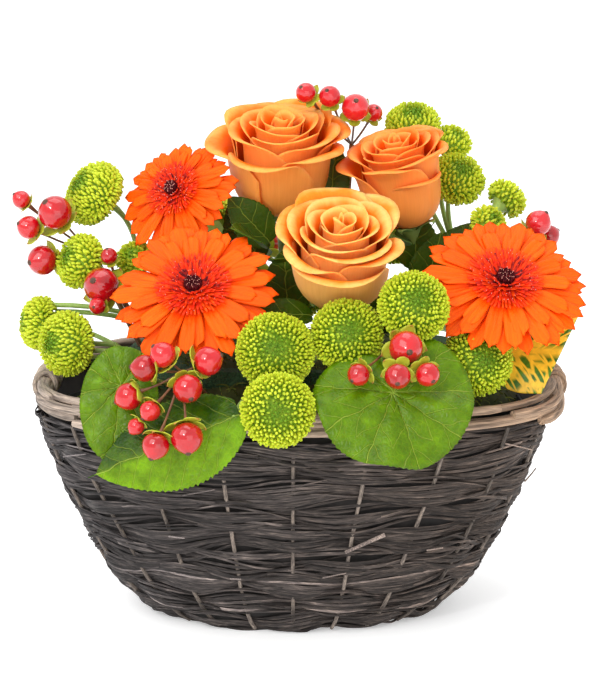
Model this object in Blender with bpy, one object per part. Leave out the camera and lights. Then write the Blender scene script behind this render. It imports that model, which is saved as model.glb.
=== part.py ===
"""Flower basket arrangement: an oval woven basket with a lining tray, floral foam and moss, holding three
roses, three gerberas, button chrysanthemum sprays, berry sprays, galax leaves and a croton leaf.

Metres, +Z up. The origin is the middle of the basket's base, on the surface it stands on; -Y is the front
and +X its right. Layout tables are in millimetres. A direction is (azimuth, elevation) in degrees: azimuth
0 faces the front (-Y) and 90 faces +X.
"""

import math
import random

import bmesh
import bpy
from mathutils import Matrix, Vector

MM = 0.001
GAP = 0.3 * MM  # clearance between neighbouring pieces

# Basket: half-widths at heights, in mm, from the base to the underside of the rim
WALL_PROFILE = ((0, 76), (5, 84), (14, 93), (30, 104), (52, 114), (84, 127), (114, 135))
WALL_SHIFT = -3.5 * MM  # handmade, the wall stands a little to the left of its rim
# The plan is an oval at the base, and fuller at its corners toward the rim
BASE_DEPTH_SHARE = 0.70  # depth over width
RIM_DEPTH_SHARE = 0.67
BASE_FULLNESS = 2.0  # the exponent of the plan's curve: 2 is an ellipse
RIM_FULLNESS = 3.4
WALL_TOP = 114 * MM
WALL_THICKNESS = 7 * MM  # from its outermost strands to its inner face
FLOOR_TOP = 5 * MM
STAKES = 24
ROWS = 9
WEAVE_SWING = 2.3 * MM  # each band swings this far out over a stake, and as far in behind the next
WEAVE_EDGE = 0.22  # where a band's flat face begins and ends, in shares of its height
WALL_SAMPLES_PER_STAKE = 2

# Rim: a braid of slanting rods
RIM_HALF_WIDTH = 134 * MM
RIM_MIDDLE = 121.3 * MM
RIM_HALF_HEIGHT = 6.6 * MM
RIM_HALF_THICK = 4.6 * MM
RIM_RODS = 22
RIM_SIDES = 6
RIM_RIDGE = 1.0 * MM
KNOT_SPREAD = 12  # degrees, how far the loops over the rim reach at each end
KNOT_GROWTH = 0.22

# Tray, foam and moss inside
TRAY_WALL = 1.0 * MM
TRAY_TOP = 106 * MM
TRAY_CLEARANCE = 1.2 * MM
FOAM_HALF_WIDTH = 97.5 * MM
FOAM_HALF_DEPTH = 60 * MM
FOAM_TOP = 138 * MM
MOSS_LOW = 100 * MM
MOSS_HIGH = 123 * MM
MOSS_HALF_WIDTH = 112.5 * MM
MOSS_HALF_DEPTH = 72.5 * MM
MOSS_LUMP = 2.5 * MM

# Roses: calyx place (mm), facing, length and lip radius (mm), seed
ROSES = {
    "rose_left": ((-9.6, 23.4, 210), (-2, 71), 57, 35, 3),
    "rose_front": ((20, -40, 174), (2, 62), 54, 33.5, 5),
    "rose_right": ((58, 12, 204), (-38, 72), 53, 29.5, 8),
}
ROSE_PETALS = 9
ROSE_TURN = 137.5
ROSE_PETAL_THICK = 0.9 * MM

# Gerberas: hub place (mm), facing, ray radius (mm)
GERBERAS = {
    "gerbera_top_left": ((-64.8, -4.6, 223.4), (-31, 31), 34),
    "gerbera_left": ((-53, -58.5, 182), (-6, 46.5), 43.5),
    "gerbera_right": ((102, -56, 185), (8, 48), 43.5),
}
GERBERA_RAYS = 14
GERBERA_HUB = 8 * MM
GERBERA_THICK = 0.8 * MM
GERBERA_HUB_DROP = 4.0 * MM  # the underside of the rays below the hub's place
GERBERA_LAYER_RISE = 1.9 * MM

# Button chrysanthemums: middle of the head (mm), facing, radius (mm)
MUMS = {
    "mum_left_top": ((-107, 14, 218.5), (-60, 35), 17.2),
    "mum_left_middle": ((-113, -10, 187), (-55, 25), 14),
    "mum_left_inner": ((-86, -3, 187), (-30, 40), 9.6),
    "mum_left_low": ((-135, -8, 154), (-75, 10), 13.6),
    "mum_left_front": ((-118, -38, 149.5), (-45, 8), 16.2),
    "mum_front_left": ((-12, -87, 155.5), (0, 22), 18.8),
    "mum_front_low": ((-10.5, -112, 132.5), (0, 6), 17.6),
    "mum_front_middle": ((23, -81, 162.5), (4, 24), 17.6),
    "mum_front_right": ((55.5, -80, 176.5), (8, 28), 17.2),
    "mum_right_low": ((88, -66, 147), (15, 14), 17.6),
    "mum_right_high": ((60.5, 42, 251), (0, 60), 14.5),
    "mum_right_back": ((82, 46, 242), (35, 50), 9.8),
    "mum_right_middle": ((83, 27, 224.5), (20, 45), 14.6),
    "mum_right_outer": ((109, 22, 215), (120, 35), 10.5),
    "mum_right_inner": ((98, 2, 205), (40, 40), 9.5),
    "mum_back_left": ((-52, 62, 196), (200, 30), 17),
    "mum_back_middle": ((-2, 66, 208), (180, 35), 17.5),
    "mum_back_right": ((50, 66, 188), (160, 25), 16.5),
    "mum_back_low": ((4, 88, 156), (180, 10), 16.5),
}
MUM_AROUND = 10
MUM_RINGS = 6
MUM_SPIKE = 2.0 * MM
MUM_FRONT = 0.72
MUM_BACK = 0.5

# Chrysanthemum sprays: where the stem forks (mm) and which heads it carries
MUM_SPRAYS = {
    "mum_stems_left": ((-84, 8, 160), ("mum_left_top", "mum_left_middle", "mum_left_inner")),
    "mum_stems_far_left": ((-96, -24, 146), ("mum_left_low", "mum_left_front")),
    "mum_stems_front": ((4, -58, 144), ("mum_front_left", "mum_front_low", "mum_front_middle")),
    "mum_stems_right": ((68, -38, 146), ("mum_front_right", "mum_right_low")),
    "mum_stems_top_right": (
        (84, 26, 184),
        ("mum_right_high", "mum_right_back", "mum_right_middle", "mum_right_outer", "mum_right_inner"),
    ),
    "mum_stems_back": (
        (0, 52, 160),
        ("mum_back_left", "mum_back_middle", "mum_back_right", "mum_back_low"),
    ),
}
STEM_RADIUS = 1.4 * MM
THICK_STEM_RADIUS = 2.3 * MM
STEM_SIDES = 5
STEM_STEPS = 3
STEM_DEPTH = 24 * MM  # how deep a stem stands in the foam

# Berry sprays: fork place (mm), then each berry's middle (mm) and radius (mm)
BERRY_SPRAYS = {
    "berries_left": (
        (-110, 16, 188),
        (((-145, 0, 218), 4.8), ((-127, -5, 212), 9), ((-141, -4, 204), 6.2), ((-134, -6, 187), 8)),
    ),
    "berries_left_low": (
        (-93, -10, 168),
        (((-101.5, -30, 178), 9.4), ((-98, -22, 192), 4.4), ((-103, -38, 169), 4.4)),
    ),
    "berries_top": (
        (28, 55, 240),
        (((3, 16, 272), 5.4), ((15.5, 16, 270), 5.8), ((29, 18, 264), 7.4), ((39, 30, 260), 4.8)),
    ),
    "berries_front_left": (
        (-57, -98, 148),
        (
            ((-66, -101, 157), 6.5),
            ((-75, -99, 150), 6.8),
            ((-83, -99, 136), 6.9),
            ((-44.5, -101, 154), 7.3),
            ((-54, -108, 142), 7.3),
            ((-72, -110, 131.5), 5.2),
            ((-79, -109, 123.5), 4.2),
            ((-69, -119, 116.5), 6.8),
            ((-54, -119, 120.5), 8),
        ),
    ),
    "berries_front_right": (
        (48, -84, 162),
        (((51, -103, 161), 8.4), ((28, -111, 149.5), 5.6), ((46.5, -117, 150), 6.4), ((61, -113, 150), 6)),
    ),
    "berries_right": ((110, 4, 186), (((124, -2, 206), 6.8), ((131, 12, 197), 6))),
    "berries_back": (
        (-26, 78, 168),
        (((-32, 92, 184), 6.6), ((-17, 96, 180), 7), ((-38, 90, 168), 6.4), ((-24, 100, 164), 6)),
    ),
}
BERRY_STEM_RADIUS = 1.0 * MM

# Leaves: outline, vein hub (mm), direction of the tip, facing, length, width, waves, droop (mm), fold, and
# where the stalk enters the foam (x, y in mm)
LEAVES = {
    "galax_leaf_front_right": ("round", (45, -106, 139), (26, -46), (8, 28), 57, 73, 2, 4, -0.1, (22, -54)),
    "folded_leaf_front": (
        ("pointed", (-29, -107.6, 128.8), (-86, -21), (-12, 26), 80, 45, 1, 2, 0.3, (-22, -52))
    ),
    "galax_leaf_left": ("round", (-88, -87, 138), (-16, -68), (-2, 20), 53, 38, 1.2, 1, 0.05, (-62, -40)),
    "galax_leaf_back_left": ("round", (-54, 85, 143), (205, -28), (200, 50), 60, 74, 2, 5, -0.05, (-40, 48)),
    "galax_leaf_back_right": ("round", (52, 85, 144), (155, -26), (160, 50), 60, 72, 2, 5, -0.05, (40, 48)),
    "croton_leaf": ("croton", (87, -46, 148.5), (84, -1), (10, 20), 42, 44, 1, 0, -0.08, (76, -34)),
}
LEAF_THICK = 0.8 * MM
LEAF_STALK_DEPTH = 12 * MM

# Rose leaflets: which rose's stem carries each, its root (mm), direction, facing, length and width (mm)
ROSE_LEAFLETS = (
    ("rose_left", (-20, -16, 196), (-30, 35), (-10, 55), 30, 18),
    ("rose_left", (-12, -20, 188), (-4, 24), (0, 60), 28, 20),
    ("rose_front", (6, -50, 166), (-75, 10), (-15, 55), 32, 20),
    ("rose_right", (52, -6, 196), (-10, 30), (10, 50), 26, 16),
    ("rose_left", (-24, 30, 180), (190, 10), (190, 50), 34, 22),
    ("rose_right", (54, 28, 184), (185, 15), (170, 50), 24, 18),
)

random.seed(11)


# ---------------------------------------------------------------- helpers
def clear_scene():
    for obj in list(bpy.data.objects):
        bpy.data.objects.remove(obj, do_unlink=True)


def material(name, colour, roughness=0.6, metallic=0.0):
    made = bpy.data.materials.new(name)
    made.use_nodes = True
    shader = made.node_tree.nodes["Principled BSDF"]
    shader.inputs["Base Color"].default_value = (*colour, 1)
    shader.inputs["Roughness"].default_value = roughness
    shader.inputs["Metallic"].default_value = metallic
    made.diffuse_color = (*colour, 1)
    return made


def direction(azimuth, elevation):
    a = math.radians(azimuth)
    e = math.radians(elevation)
    return Vector((math.sin(a) * math.cos(e), -math.cos(a) * math.cos(e), math.sin(e)))


def millimetres(place):
    return Vector(place) * MM


def standing(place, facing):
    """Matrix to a place, with local +Z along a facing and local +Y as high as it can be."""
    z_axis = direction(*facing)
    x_axis = Vector((0, 0, 1)).cross(z_axis).normalized()
    y_axis = z_axis.cross(x_axis)
    turn = Matrix((x_axis, y_axis, z_axis)).transposed().to_4x4()
    return Matrix.Translation(millimetres(place)) @ turn


def object_from(bm, name, paint, smooth_angle=40):
    mesh = bpy.data.meshes.new(name)
    bm.to_mesh(mesh)
    bm.free()
    mesh.materials.append(paint)
    mesh.shade_smooth()
    mesh.set_sharp_from_angle(angle=math.radians(smooth_angle))
    obj = bpy.data.objects.new(name, mesh)
    bpy.context.collection.objects.link(obj)
    return obj


def evaluated_copy(obj):
    graph = bpy.context.evaluated_depsgraph_get()
    return bpy.data.meshes.new_from_object(obj.evaluated_get(graph), depsgraph=graph)


def boolean(obj, operation, others):
    """Join others to an object, or cut them from it, and remove them."""
    helpers = bpy.data.collections.new(obj.name + "_helpers")
    bpy.context.scene.collection.children.link(helpers)
    for other in others:
        for home in list(other.users_collection):
            home.objects.unlink(other)
        helpers.objects.link(other)
    made = obj.modifiers.new("join", "BOOLEAN")
    made.operation = operation
    made.operand_type = "COLLECTION"
    made.collection = helpers
    made.solver = "EXACT"
    bpy.context.view_layer.update()
    mesh = evaluated_copy(obj)
    obj.modifiers.clear()
    obj.data = mesh
    for other in others:
        bpy.data.objects.remove(other, do_unlink=True)
    bpy.data.collections.remove(helpers)
    return obj


def skin(bm, rings, closed_length=False):
    """Faces over rings of points, each ring closed; the first and last ring are capped unless they join."""
    made = [[bm.verts.new(point) for point in ring] for ring in rings]
    sides = len(made[0])
    pairs = list(zip(made, made[1:]))
    if closed_length:
        pairs.append((made[-1], made[0]))
    for low, high in pairs:
        for i in range(sides):
            j = (i + 1) % sides
            bm.faces.new((low[i], low[j], high[j], high[i]))
    if not closed_length:
        bm.faces.new(list(reversed(made[0])))
        bm.faces.new(made[-1])
    bmesh.ops.recalc_face_normals(bm, faces=bm.faces)


def stalk(points, radii, sides=STEM_SIDES):
    """A bmesh tube along points, with a radius at each, and flat ends."""
    bm = bmesh.new()
    rings = []
    side = (points[1] - points[0]).orthogonal().normalized()
    for i, (point, radius) in enumerate(zip(points, radii)):
        along = (points[min(i + 1, len(points) - 1)] - points[max(i - 1, 0)]).normalized()
        side = (side - along * side.dot(along)).normalized()
        other = along.cross(side)
        turns = [2 * math.pi * k / sides for k in range(sides)]
        rings.append([point + (side * math.cos(t) + other * math.sin(t)) * radius for t in turns])
    skin(bm, rings)
    return bm


def tube(points, radius, sides=STEM_SIDES):
    return stalk(points, [radius] * len(points), sides)


def bend(start, start_way, end, steps=STEM_STEPS):
    """Points on a curve that leaves its start along a direction and runs on to its end."""
    reach = (end - start).length * 0.4
    pull = start + start_way * reach
    return [
        start * (1 - t) ** 2 + pull * 2 * t * (1 - t) + end * t**2
        for t in (i / steps for i in range(steps + 1))
    ]


def blade(shape, across, along, thickness):
    """A closed blade: a triangulated grid mapped by shape(u, v), u in -1..1 across and v in 0..1 along."""
    bm = bmesh.new()
    bmesh.ops.create_grid(bm, x_segments=across, y_segments=along, size=1)
    for vert in bm.verts:
        vert.co = shape(vert.co.x, (vert.co.y + 1) / 2)
    bmesh.ops.triangulate(bm, faces=bm.faces)
    bmesh.ops.recalc_face_normals(bm, faces=bm.faces)
    bmesh.ops.solidify(bm, geom=bm.faces[:], thickness=thickness)
    bmesh.ops.recalc_face_normals(bm, faces=bm.faces)
    return bm


# ---------------------------------------------------------------- basket
def interpolate(table, x):
    for (x0, y0), (x1, y1) in zip(table, table[1:]):
        if x <= x1:
            return y0 + (y1 - y0) * max(x - x0, 0) / (x1 - x0)
    return table[-1][1]


def wall_half_width(z):
    return interpolate(WALL_PROFILE, z / MM) * MM


def oval(half_width, turn, z, outward=0.0):
    """A point on the plan's curve, turn 0 at the front and a quarter turn at +X, moved along its normal."""
    height = min(z / WALL_TOP, 1)
    share = BASE_DEPTH_SHARE + (RIM_DEPTH_SHARE - BASE_DEPTH_SHARE) * height
    power = BASE_FULLNESS + (RIM_FULLNESS - BASE_FULLNESS) * height
    across, along = math.sin(turn), -math.cos(turn)
    reach = (abs(across) ** power + abs(along) ** power) ** (-1 / power)
    across *= reach
    along *= reach
    normal = Vector(
        (
            math.copysign(abs(across) ** (power - 1), across) * share,
            math.copysign(abs(along) ** (power - 1), along),
            0,
        )
    ).normalized()
    return Vector((half_width * across, half_width * share * along, z)) + normal * outward


def wall_point(half_width, turn, z, outward=0.0):
    return oval(half_width, turn, z, outward) + Vector((WALL_SHIFT, 0, 0))


def weave_offset(row, stake_turn):
    """How far the woven surface stands out: each band passes over one stake and behind the next."""
    return WEAVE_SWING * (math.cos(math.pi * (stake_turn + row)) - 1)


def make_basket_wall():
    samples = STAKES * WALL_SAMPLES_PER_STAKE
    rings = [[wall_point(wall_half_width(0), 2 * math.pi * i / samples, 0) for i in range(samples)]]
    levels = [(row, share) for row in range(ROWS) for share in (WEAVE_EDGE, 1 - WEAVE_EDGE)]
    levels[-1] = (ROWS - 1, 1)
    for row, share in levels[1:]:
        z = (row + share) * WALL_TOP / ROWS
        ring = []
        for i in range(samples):
            out = weave_offset(row, i / WALL_SAMPLES_PER_STAKE)
            ring.append(wall_point(wall_half_width(z), 2 * math.pi * i / samples, z, out))
        rings.append(ring)
    inner_levels = (WALL_TOP, 40 * MM, FLOOR_TOP)
    for z in inner_levels:
        half = wall_half_width(z) - WALL_THICKNESS
        rings.append([wall_point(half, 2 * math.pi * i / samples, z) for i in range(samples)])
    bm = bmesh.new()
    skin(bm, rings)
    return object_from(bm, "basket_wall", material("dark_willow", (0.06, 0.055, 0.055), 0.8), 25)


def make_rim():
    samples = RIM_RODS * 3
    rings = []
    for i in range(samples):
        turn = 2 * math.pi * i / samples
        from_end = min(abs(math.degrees(turn) - 90), abs(math.degrees(turn) - 270))
        growth = 1 + KNOT_GROWTH * math.exp(-((from_end / KNOT_SPREAD) ** 2))
        ring = []
        for k in range(RIM_SIDES):
            angle = 2 * math.pi * k / RIM_SIDES
            ridge = RIM_RIDGE if (i - k) % 3 == 0 else 0.0
            out = (RIM_HALF_THICK + ridge) * growth * math.cos(angle)
            up = (RIM_HALF_HEIGHT + ridge) * math.sin(angle)
            if up > 0:
                up *= growth
            else:
                up = max(up, WALL_TOP + GAP - RIM_MIDDLE)
            ring.append(oval(RIM_HALF_WIDTH, turn, RIM_MIDDLE + up, out))
        rings.append(ring)
    bm = bmesh.new()
    skin(bm, rings, closed_length=True)
    return object_from(bm, "basket_rim", material("rim_willow", (0.3, 0.24, 0.2), 0.7), 20)


def make_tray():
    samples = 16
    levels = (FLOOR_TOP + GAP, 40 * MM, TRAY_TOP)
    clearance = WALL_THICKNESS + TRAY_CLEARANCE
    rings = []
    for z in levels:
        half = wall_half_width(z) - clearance
        rings.append([wall_point(half, 2 * math.pi * i / samples, z) for i in range(samples)])
    for z in reversed(levels):
        half = wall_half_width(z) - clearance - TRAY_WALL
        height = max(z, FLOOR_TOP + GAP + TRAY_WALL)
        rings.append([wall_point(half, 2 * math.pi * i / samples, height) for i in range(samples)])
    bm = bmesh.new()
    skin(bm, rings)
    # Both faces of the thin wall are split alike, so that they don't cross
    bmesh.ops.triangulate(bm, faces=bm.faces, quad_method="SHORT_EDGE")
    return object_from(bm, "lining_tray", material("black_plastic", (0.02, 0.02, 0.02), 0.4))


def make_foam():
    """A block of floral foam, rounded at its corners, which narrows to the tray's floor."""
    floor = FLOOR_TOP + TRAY_WALL + 2 * GAP
    levels = ((floor, 0.66), (40 * MM, 0.84), (FOAM_TOP - 6 * MM, 1.0), (FOAM_TOP, 0.94))
    samples = 20
    rings = []
    for z, share in levels:
        ring = []
        for i in range(samples):
            turn = 2 * math.pi * i / samples
            wide = math.copysign(abs(math.sin(turn)) ** 0.8, math.sin(turn))
            deep = math.copysign(abs(math.cos(turn)) ** 0.8, math.cos(turn))
            ring.append(Vector((wide * FOAM_HALF_WIDTH * share, -deep * FOAM_HALF_DEPTH * share, z)))
        rings.append(ring)
    bm = bmesh.new()
    skin(bm, rings)
    return object_from(bm, "floral_foam", material("foam_green", (0.08, 0.16, 0.06), 0.95))


def make_moss():
    """Tufts of moss in a ring between the foam and the rim."""
    samples = 28
    rings = []
    for i in range(samples):
        turn = 2 * math.pi * i / samples
        across = MOSS_HALF_WIDTH * math.sin(turn) + WALL_SHIFT
        middle = Vector((across, -MOSS_HALF_DEPTH * math.cos(turn), 0))
        inner_way = Vector((-math.sin(turn) * 0.7, math.cos(turn), 0)).normalized()
        high = MOSS_HIGH + random.uniform(-MOSS_LUMP, MOSS_LUMP)
        ring = []
        profile = ((-7, MOSS_LOW), (-8.3, 112 * MM), (-2.5, high), (3, high - 1.5 * MM), (6.5, MOSS_LOW))
        for inward, z in profile:
            ring.append(middle - inner_way * (inward * MM) + Vector((0, 0, z)))
        rings.append(ring)
    bm = bmesh.new()
    skin(bm, rings, closed_length=True)
    return object_from(bm, "moss", material("moss_green", (0.12, 0.14, 0.03), 0.95))


# ---------------------------------------------------------------- roses
def rose_petal(length, radius, layer, turn, seed):
    """One petal, a curved shell round the heart, whose lip rolls outward more on the outer layers."""
    draw = random.Random(seed)
    half_span = math.radians(72 - 8 * layer)
    flare = (0.02 + 0.30 * layer**2) * draw.uniform(0.93, 1.05)
    tall = (0.86 + 0.12 * math.sin(layer * 2.2)) * draw.uniform(0.97, 1.02)
    foot = 0.12 if layer < 0.5 else 0.03

    def shape(u, v):
        height = foot + (tall - foot) * v * (1 - 0.16 * abs(u) ** 2.5 * v)
        belly = math.sin(min(height * 2.1, 1) * math.pi / 2)
        out = 0.13 + (0.03 + 0.56 * layer) * belly + 0.02 * u
        roll = max(v - 0.62, 0) / 0.38
        out += flare * roll**1.6
        height -= 0.10 * layer**2 * roll**2
        span = half_span * (0.30 + 0.70 * math.sin(min(v * 1.9, 1) * math.pi / 2))
        angle = turn + u * span
        return Vector((math.cos(angle) * out * radius, math.sin(angle) * out * radius, height * length))

    if layer < 0.3:
        return blade(shape, 3, 2, ROSE_PETAL_THICK)
    return blade(shape, 3, 3, ROSE_PETAL_THICK)


def rose_heart(length, radius, paint, name):
    """The bud at the middle, with a flat seat at the foot and a swirl of ridges at its tip."""
    profile = ((0.0, 0.14), (0.06, 0.30), (0.2, 0.29), (0.34, 0.14), (0.84, 0.09))
    sides = 8
    rings = []
    for height, out in profile:
        ring = []
        for k in range(sides):
            ridge = 1 + (0.12 if k % 2 else -0.04) * height
            angle = 2 * math.pi * k / sides + height * 1.6
            reach = out * radius * ridge
            ring.append(Vector((math.cos(angle) * reach, math.sin(angle) * reach, height * length)))
        rings.append(ring)
    bm = bmesh.new()
    skin(bm, rings)
    return object_from(bm, name, paint)


def make_rose(name, place, facing, length, radius, seed):
    paint = material(name + "_petals", (0.9, 0.32, 0.06), 0.5)
    length *= MM
    radius *= MM
    bloom = rose_heart(length, radius, paint, name + "_bloom")
    petals = []
    for k in range(ROSE_PETALS):
        layer = (k + 1) / ROSE_PETALS
        turn = math.radians(seed * 40 + k * ROSE_TURN)
        petal = rose_petal(length, radius, layer, turn, seed * 100 + k)
        petals.append(object_from(petal, f"petal_{k}", paint))
    boolean(bloom, "UNION", petals)
    bloom.matrix_world = standing(place, facing)
    return bloom


# ---------------------------------------------------------------- gerberas
def gerbera_rise(share, radius):
    """Height of the rays' surface at a share of their radius: up from the hub, then over and down."""
    return 3.0 * MM * math.sin(min(share * 2, 1) * math.pi / 2) - 0.07 * radius * share**2.4


def star_rings(radius, turn, height, seed):
    """Per ray: the valley at its root, then its outline up one side, round the tip and down the other."""
    draw = random.Random(seed)
    step = 2 * math.pi / GERBERA_RAYS
    half_width = radius * 0.098
    rays = []
    for k in range(GERBERA_RAYS):
        reach = radius * draw.uniform(0.93, 1.0)
        sway = draw.uniform(-0.05, 0.05)
        middle = turn + k * step
        outline = []
        for share, side in ((0.5, -0.95), (0.86, -0.8), (1.0, 0), (0.86, 0.8), (0.5, 0.95)):
            out = reach * share
            angle = middle + sway * share + side * half_width / out
            lift = height + gerbera_rise(share, radius)
            outline.append(Vector((math.cos(angle) * out, math.sin(angle) * out, lift)))
        root = middle - step / 2
        valley = Vector((math.cos(root) * GERBERA_HUB, math.sin(root) * GERBERA_HUB, height))
        rays.append((valley, outline))
    return rays


def add_star(bm, rays, lift):
    """One face of a layer of rays; returns its root loop and its outline loop."""
    valleys = [bm.verts.new(valley + lift) for valley, _ in rays]
    loop = []
    for k, (_, outline) in enumerate(rays):
        near = valleys[k]
        far = valleys[(k + 1) % len(rays)]
        a, b, tip, c, d = (bm.verts.new(point + lift) for point in outline)
        bm.faces.new((near, a, d, far))
        bm.faces.new((a, b, c, d))
        bm.faces.new((b, tip, c))
        loop += [near, a, b, tip, c, d]
    return valleys, loop


def bridge(bm, low, high):
    for i in range(len(low)):
        j = (i + 1) % len(low)
        bm.faces.new((low[i], low[j], high[j], high[i]))


def make_gerbera(name, place, facing, radius):
    """Two layers of long rays, one body: the upper layer's underside runs into the lower layer's top."""
    radius *= MM
    bm = bmesh.new()
    seed = round(radius / MM) + round(place[0])
    thick = Vector((0, 0, GERBERA_THICK))
    half_step = math.pi / GERBERA_RAYS
    lower = star_rings(radius, 0.0, -GERBERA_HUB_DROP, seed)
    upper = star_rings(radius * 0.9, half_step, GERBERA_LAYER_RISE - GERBERA_HUB_DROP, seed + 1)
    low_root, low_edge = add_star(bm, lower, Vector())
    mid_root, mid_edge = add_star(bm, lower, thick)
    high_root, high_edge = add_star(bm, upper, Vector())
    top_root, top_edge = add_star(bm, upper, thick)
    bridge(bm, low_edge, mid_edge)
    bridge(bm, high_edge, top_edge)
    bm.faces.new(list(reversed(low_root)))
    bm.faces.new(top_root)
    bridge(bm, mid_root, high_root)
    bmesh.ops.triangulate(bm, faces=bm.faces)
    bmesh.ops.recalc_face_normals(bm, faces=bm.faces)
    rays = object_from(bm, name + "_rays", material(name + "_rays", (0.85, 0.17, 0.02), 0.5))
    rays.matrix_world = standing(place, facing)
    centre = make_gerbera_centre(name, radius)
    centre.matrix_world = rays.matrix_world
    return rays


def make_gerbera_centre(name, radius):
    """The disc, with its ring of short inner florets standing up round a darker middle."""
    sides = 16
    size = radius * 0.30
    seat = GERBERA_LAYER_RISE - GERBERA_HUB_DROP + GERBERA_THICK + GAP
    profile = ((0.5, 0.0), (0.92, 3.4), (0.72, 5.6), (0.45, 4.2), (0.2, 4.6))
    rings = []
    for row, (out, up) in enumerate(profile):
        ring = []
        for k in range(sides):
            tooth = 1.0 if (k + row) % 2 else 0.0
            reach = out * size * (1 + 0.12 * tooth * (row in (1, 2)))
            lift = up * MM + tooth * 0.9 * MM * (row > 0)
            angle = 2 * math.pi * k / sides
            ring.append(Vector((math.cos(angle) * reach, math.sin(angle) * reach, lift + seat)))
        rings.append(ring)
    bm = bmesh.new()
    skin(bm, rings)
    return object_from(bm, name + "_centre", material(name + "_disc", (0.12, 0.01, 0.01), 0.7), 20)


# ---------------------------------------------------------------- chrysanthemums
def make_mum(name, place, facing, radius):
    """A dense button head: rings of florets raised from a low dome, alternate ones standing out."""
    radius *= MM
    bm = bmesh.new()
    bmesh.ops.create_uvsphere(bm, u_segments=MUM_AROUND, v_segments=MUM_RINGS, radius=1)
    for vert in bm.verts:
        polar = math.acos(max(-1, min(1, vert.co.z)))
        ring = round(polar / math.pi * MUM_RINGS)
        step = round(math.atan2(vert.co.y, vert.co.x) / (2 * math.pi) * MUM_AROUND)
        raised = (step + ring) % 2 == 0 and 0 < ring < MUM_RINGS
        depth = MUM_FRONT if vert.co.z > 0 else MUM_BACK
        base = Vector((vert.co.x, vert.co.y, vert.co.z * depth)) * (radius - MUM_SPIKE)
        if ring == 0:
            base.z -= 0.9 * MM
        vert.co = base + vert.co * (MUM_SPIKE if raised else 0.0)
    head = object_from(bm, name, material("mum_lime", (0.42, 0.6, 0.04), 0.6), 15)
    head.matrix_world = standing(place, facing)
    return head


# ---------------------------------------------------------------- stems
def foam_place(point):
    """Where the stem of a bloom at this point ends in the foam."""
    return Vector((point.x * 0.66, point.y * 0.48, FOAM_TOP - STEM_DEPTH))


FOAM_CUTTERS = []


def plant(points, radius):
    """Remember a stem's last stretch, so that the foam gets its hole."""
    way = (points[-1] - points[-2]).normalized()
    cutter = tube(points[:-1] + [points[-1] + way * GAP], radius + GAP * 2)
    FOAM_CUTTERS.append(cutter)


def fused(name, pieces, paint):
    """One object from several closed bmeshes that run into each other."""
    objects = [object_from(bm, f"{name}_piece_{i}", paint) for i, bm in enumerate(pieces)]
    first = objects[0]
    if len(objects) > 1:
        boolean(first, "UNION", objects[1:])
    first.name = name
    first.data.name = name
    return first


def knot(place, radius):
    bm = bmesh.new()
    bmesh.ops.create_icosphere(bm, subdivisions=1, radius=radius)
    bmesh.ops.translate(bm, verts=bm.verts, vec=place)
    return bm


def cupped_stem(top, way, cup_radius, cup_height, end, radius, sides=STEM_SIDES):
    """A stem that widens at its top into the cup that a bloom sits on: its points and its bmesh."""
    neck = top - way * cup_height
    points = bend(neck, -way, end)
    radii = [cup_radius, cup_radius * 0.8] + [radius] * len(points)
    return points, stalk([top, top - way * cup_height * 0.35] + points, radii, sides)


def nearest_on(points, target):
    """The place on a run of points nearest a target."""
    best = None
    for a, b in zip(points, points[1:]):
        along = b - a
        share = max(0, min(1, (target - a).dot(along) / along.length_squared))
        place = a + along * share
        if best is None or (place - target).length < (best - target).length:
            best = place
    return best


def make_single_stem(name, place, facing, drop, cup_radius, cup_height, radius, leaflets=()):
    """The stem of one bloom: its calyx, then a stem down into the foam, with any leaflets on stalks."""
    way = direction(*facing)
    top = millimetres(place) - way * (drop + GAP)
    foot = foam_place(millimetres(place))
    points, stem = cupped_stem(top, way, cup_radius, cup_height, foot, radius)
    plant(points, radius)
    pieces = [stem]
    for root, tip, leaf_facing, length, width in leaflets:
        pieces.append(rose_leaflet(root, tip, leaf_facing, length, width))
        end = millimetres(root) + direction(*tip) * (2 * MM)
        pieces.append(tube([nearest_on(points, end - Vector((0, 0, 12 * MM))), end], 0.9 * MM, 4))
    return fused(name, pieces, material(name + "_green", (0.10, 0.22, 0.05), 0.6))


def make_mum_spray(name, fork, heads):
    fork = millimetres(fork)
    foot = foam_place(fork)
    trunk = [fork, foot]
    plant(trunk, STEM_RADIUS * 1.25)
    pieces = [knot(fork, STEM_RADIUS * 1.7), tube(trunk, STEM_RADIUS * 1.25)]
    for head in heads:
        place, facing, radius = MUMS[head]
        way = direction(*facing)
        top = millimetres(place) - way * (radius * MM * MUM_BACK * 0.93 + 2.5 * GAP)
        pieces.append(cupped_stem(top, way, radius * 0.42 * MM, 3.5 * MM, fork, STEM_RADIUS, 4)[1])
    return fused(name, pieces, material("mum_stem_green", (0.16, 0.3, 0.07), 0.6))


# A berry along its axis, in shares of its radius: (place along, radius), from its sepals to its tip
BERRY_PROFILE = ((-0.85, 0.9), (-0.72, 0.7), (0.0, 1.0), (0.68, 0.74), (1.12, 0.14))


def berry_on_stalk(middle, way, radius, fork):
    """One berry with its sepals on a stalk from the fork."""
    neck = middle - way * (radius * 1.15)
    points = [fork, neck]
    radii = [BERRY_STEM_RADIUS] * 2
    for along, wide in BERRY_PROFILE:
        points.append(middle + way * (along * radius))
        radii.append(wide * radius)
    return stalk(points, radii, 5)


def make_berry_spray(name, fork, berries):
    fork = millimetres(fork)
    foot = foam_place(fork)
    trunk = [fork, foot]
    plant(trunk, BERRY_STEM_RADIUS * 1.5)
    pieces = [knot(fork, BERRY_STEM_RADIUS * 2.2), tube(trunk, BERRY_STEM_RADIUS * 1.5)]
    for place, radius in berries:
        middle = millimetres(place)
        way = (middle - fork).normalized()
        pieces.append(berry_on_stalk(middle, way, radius * MM, fork))
    return fused(name, pieces, material("berry_red", (0.6, 0.02, 0.03), 0.25))


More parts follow.
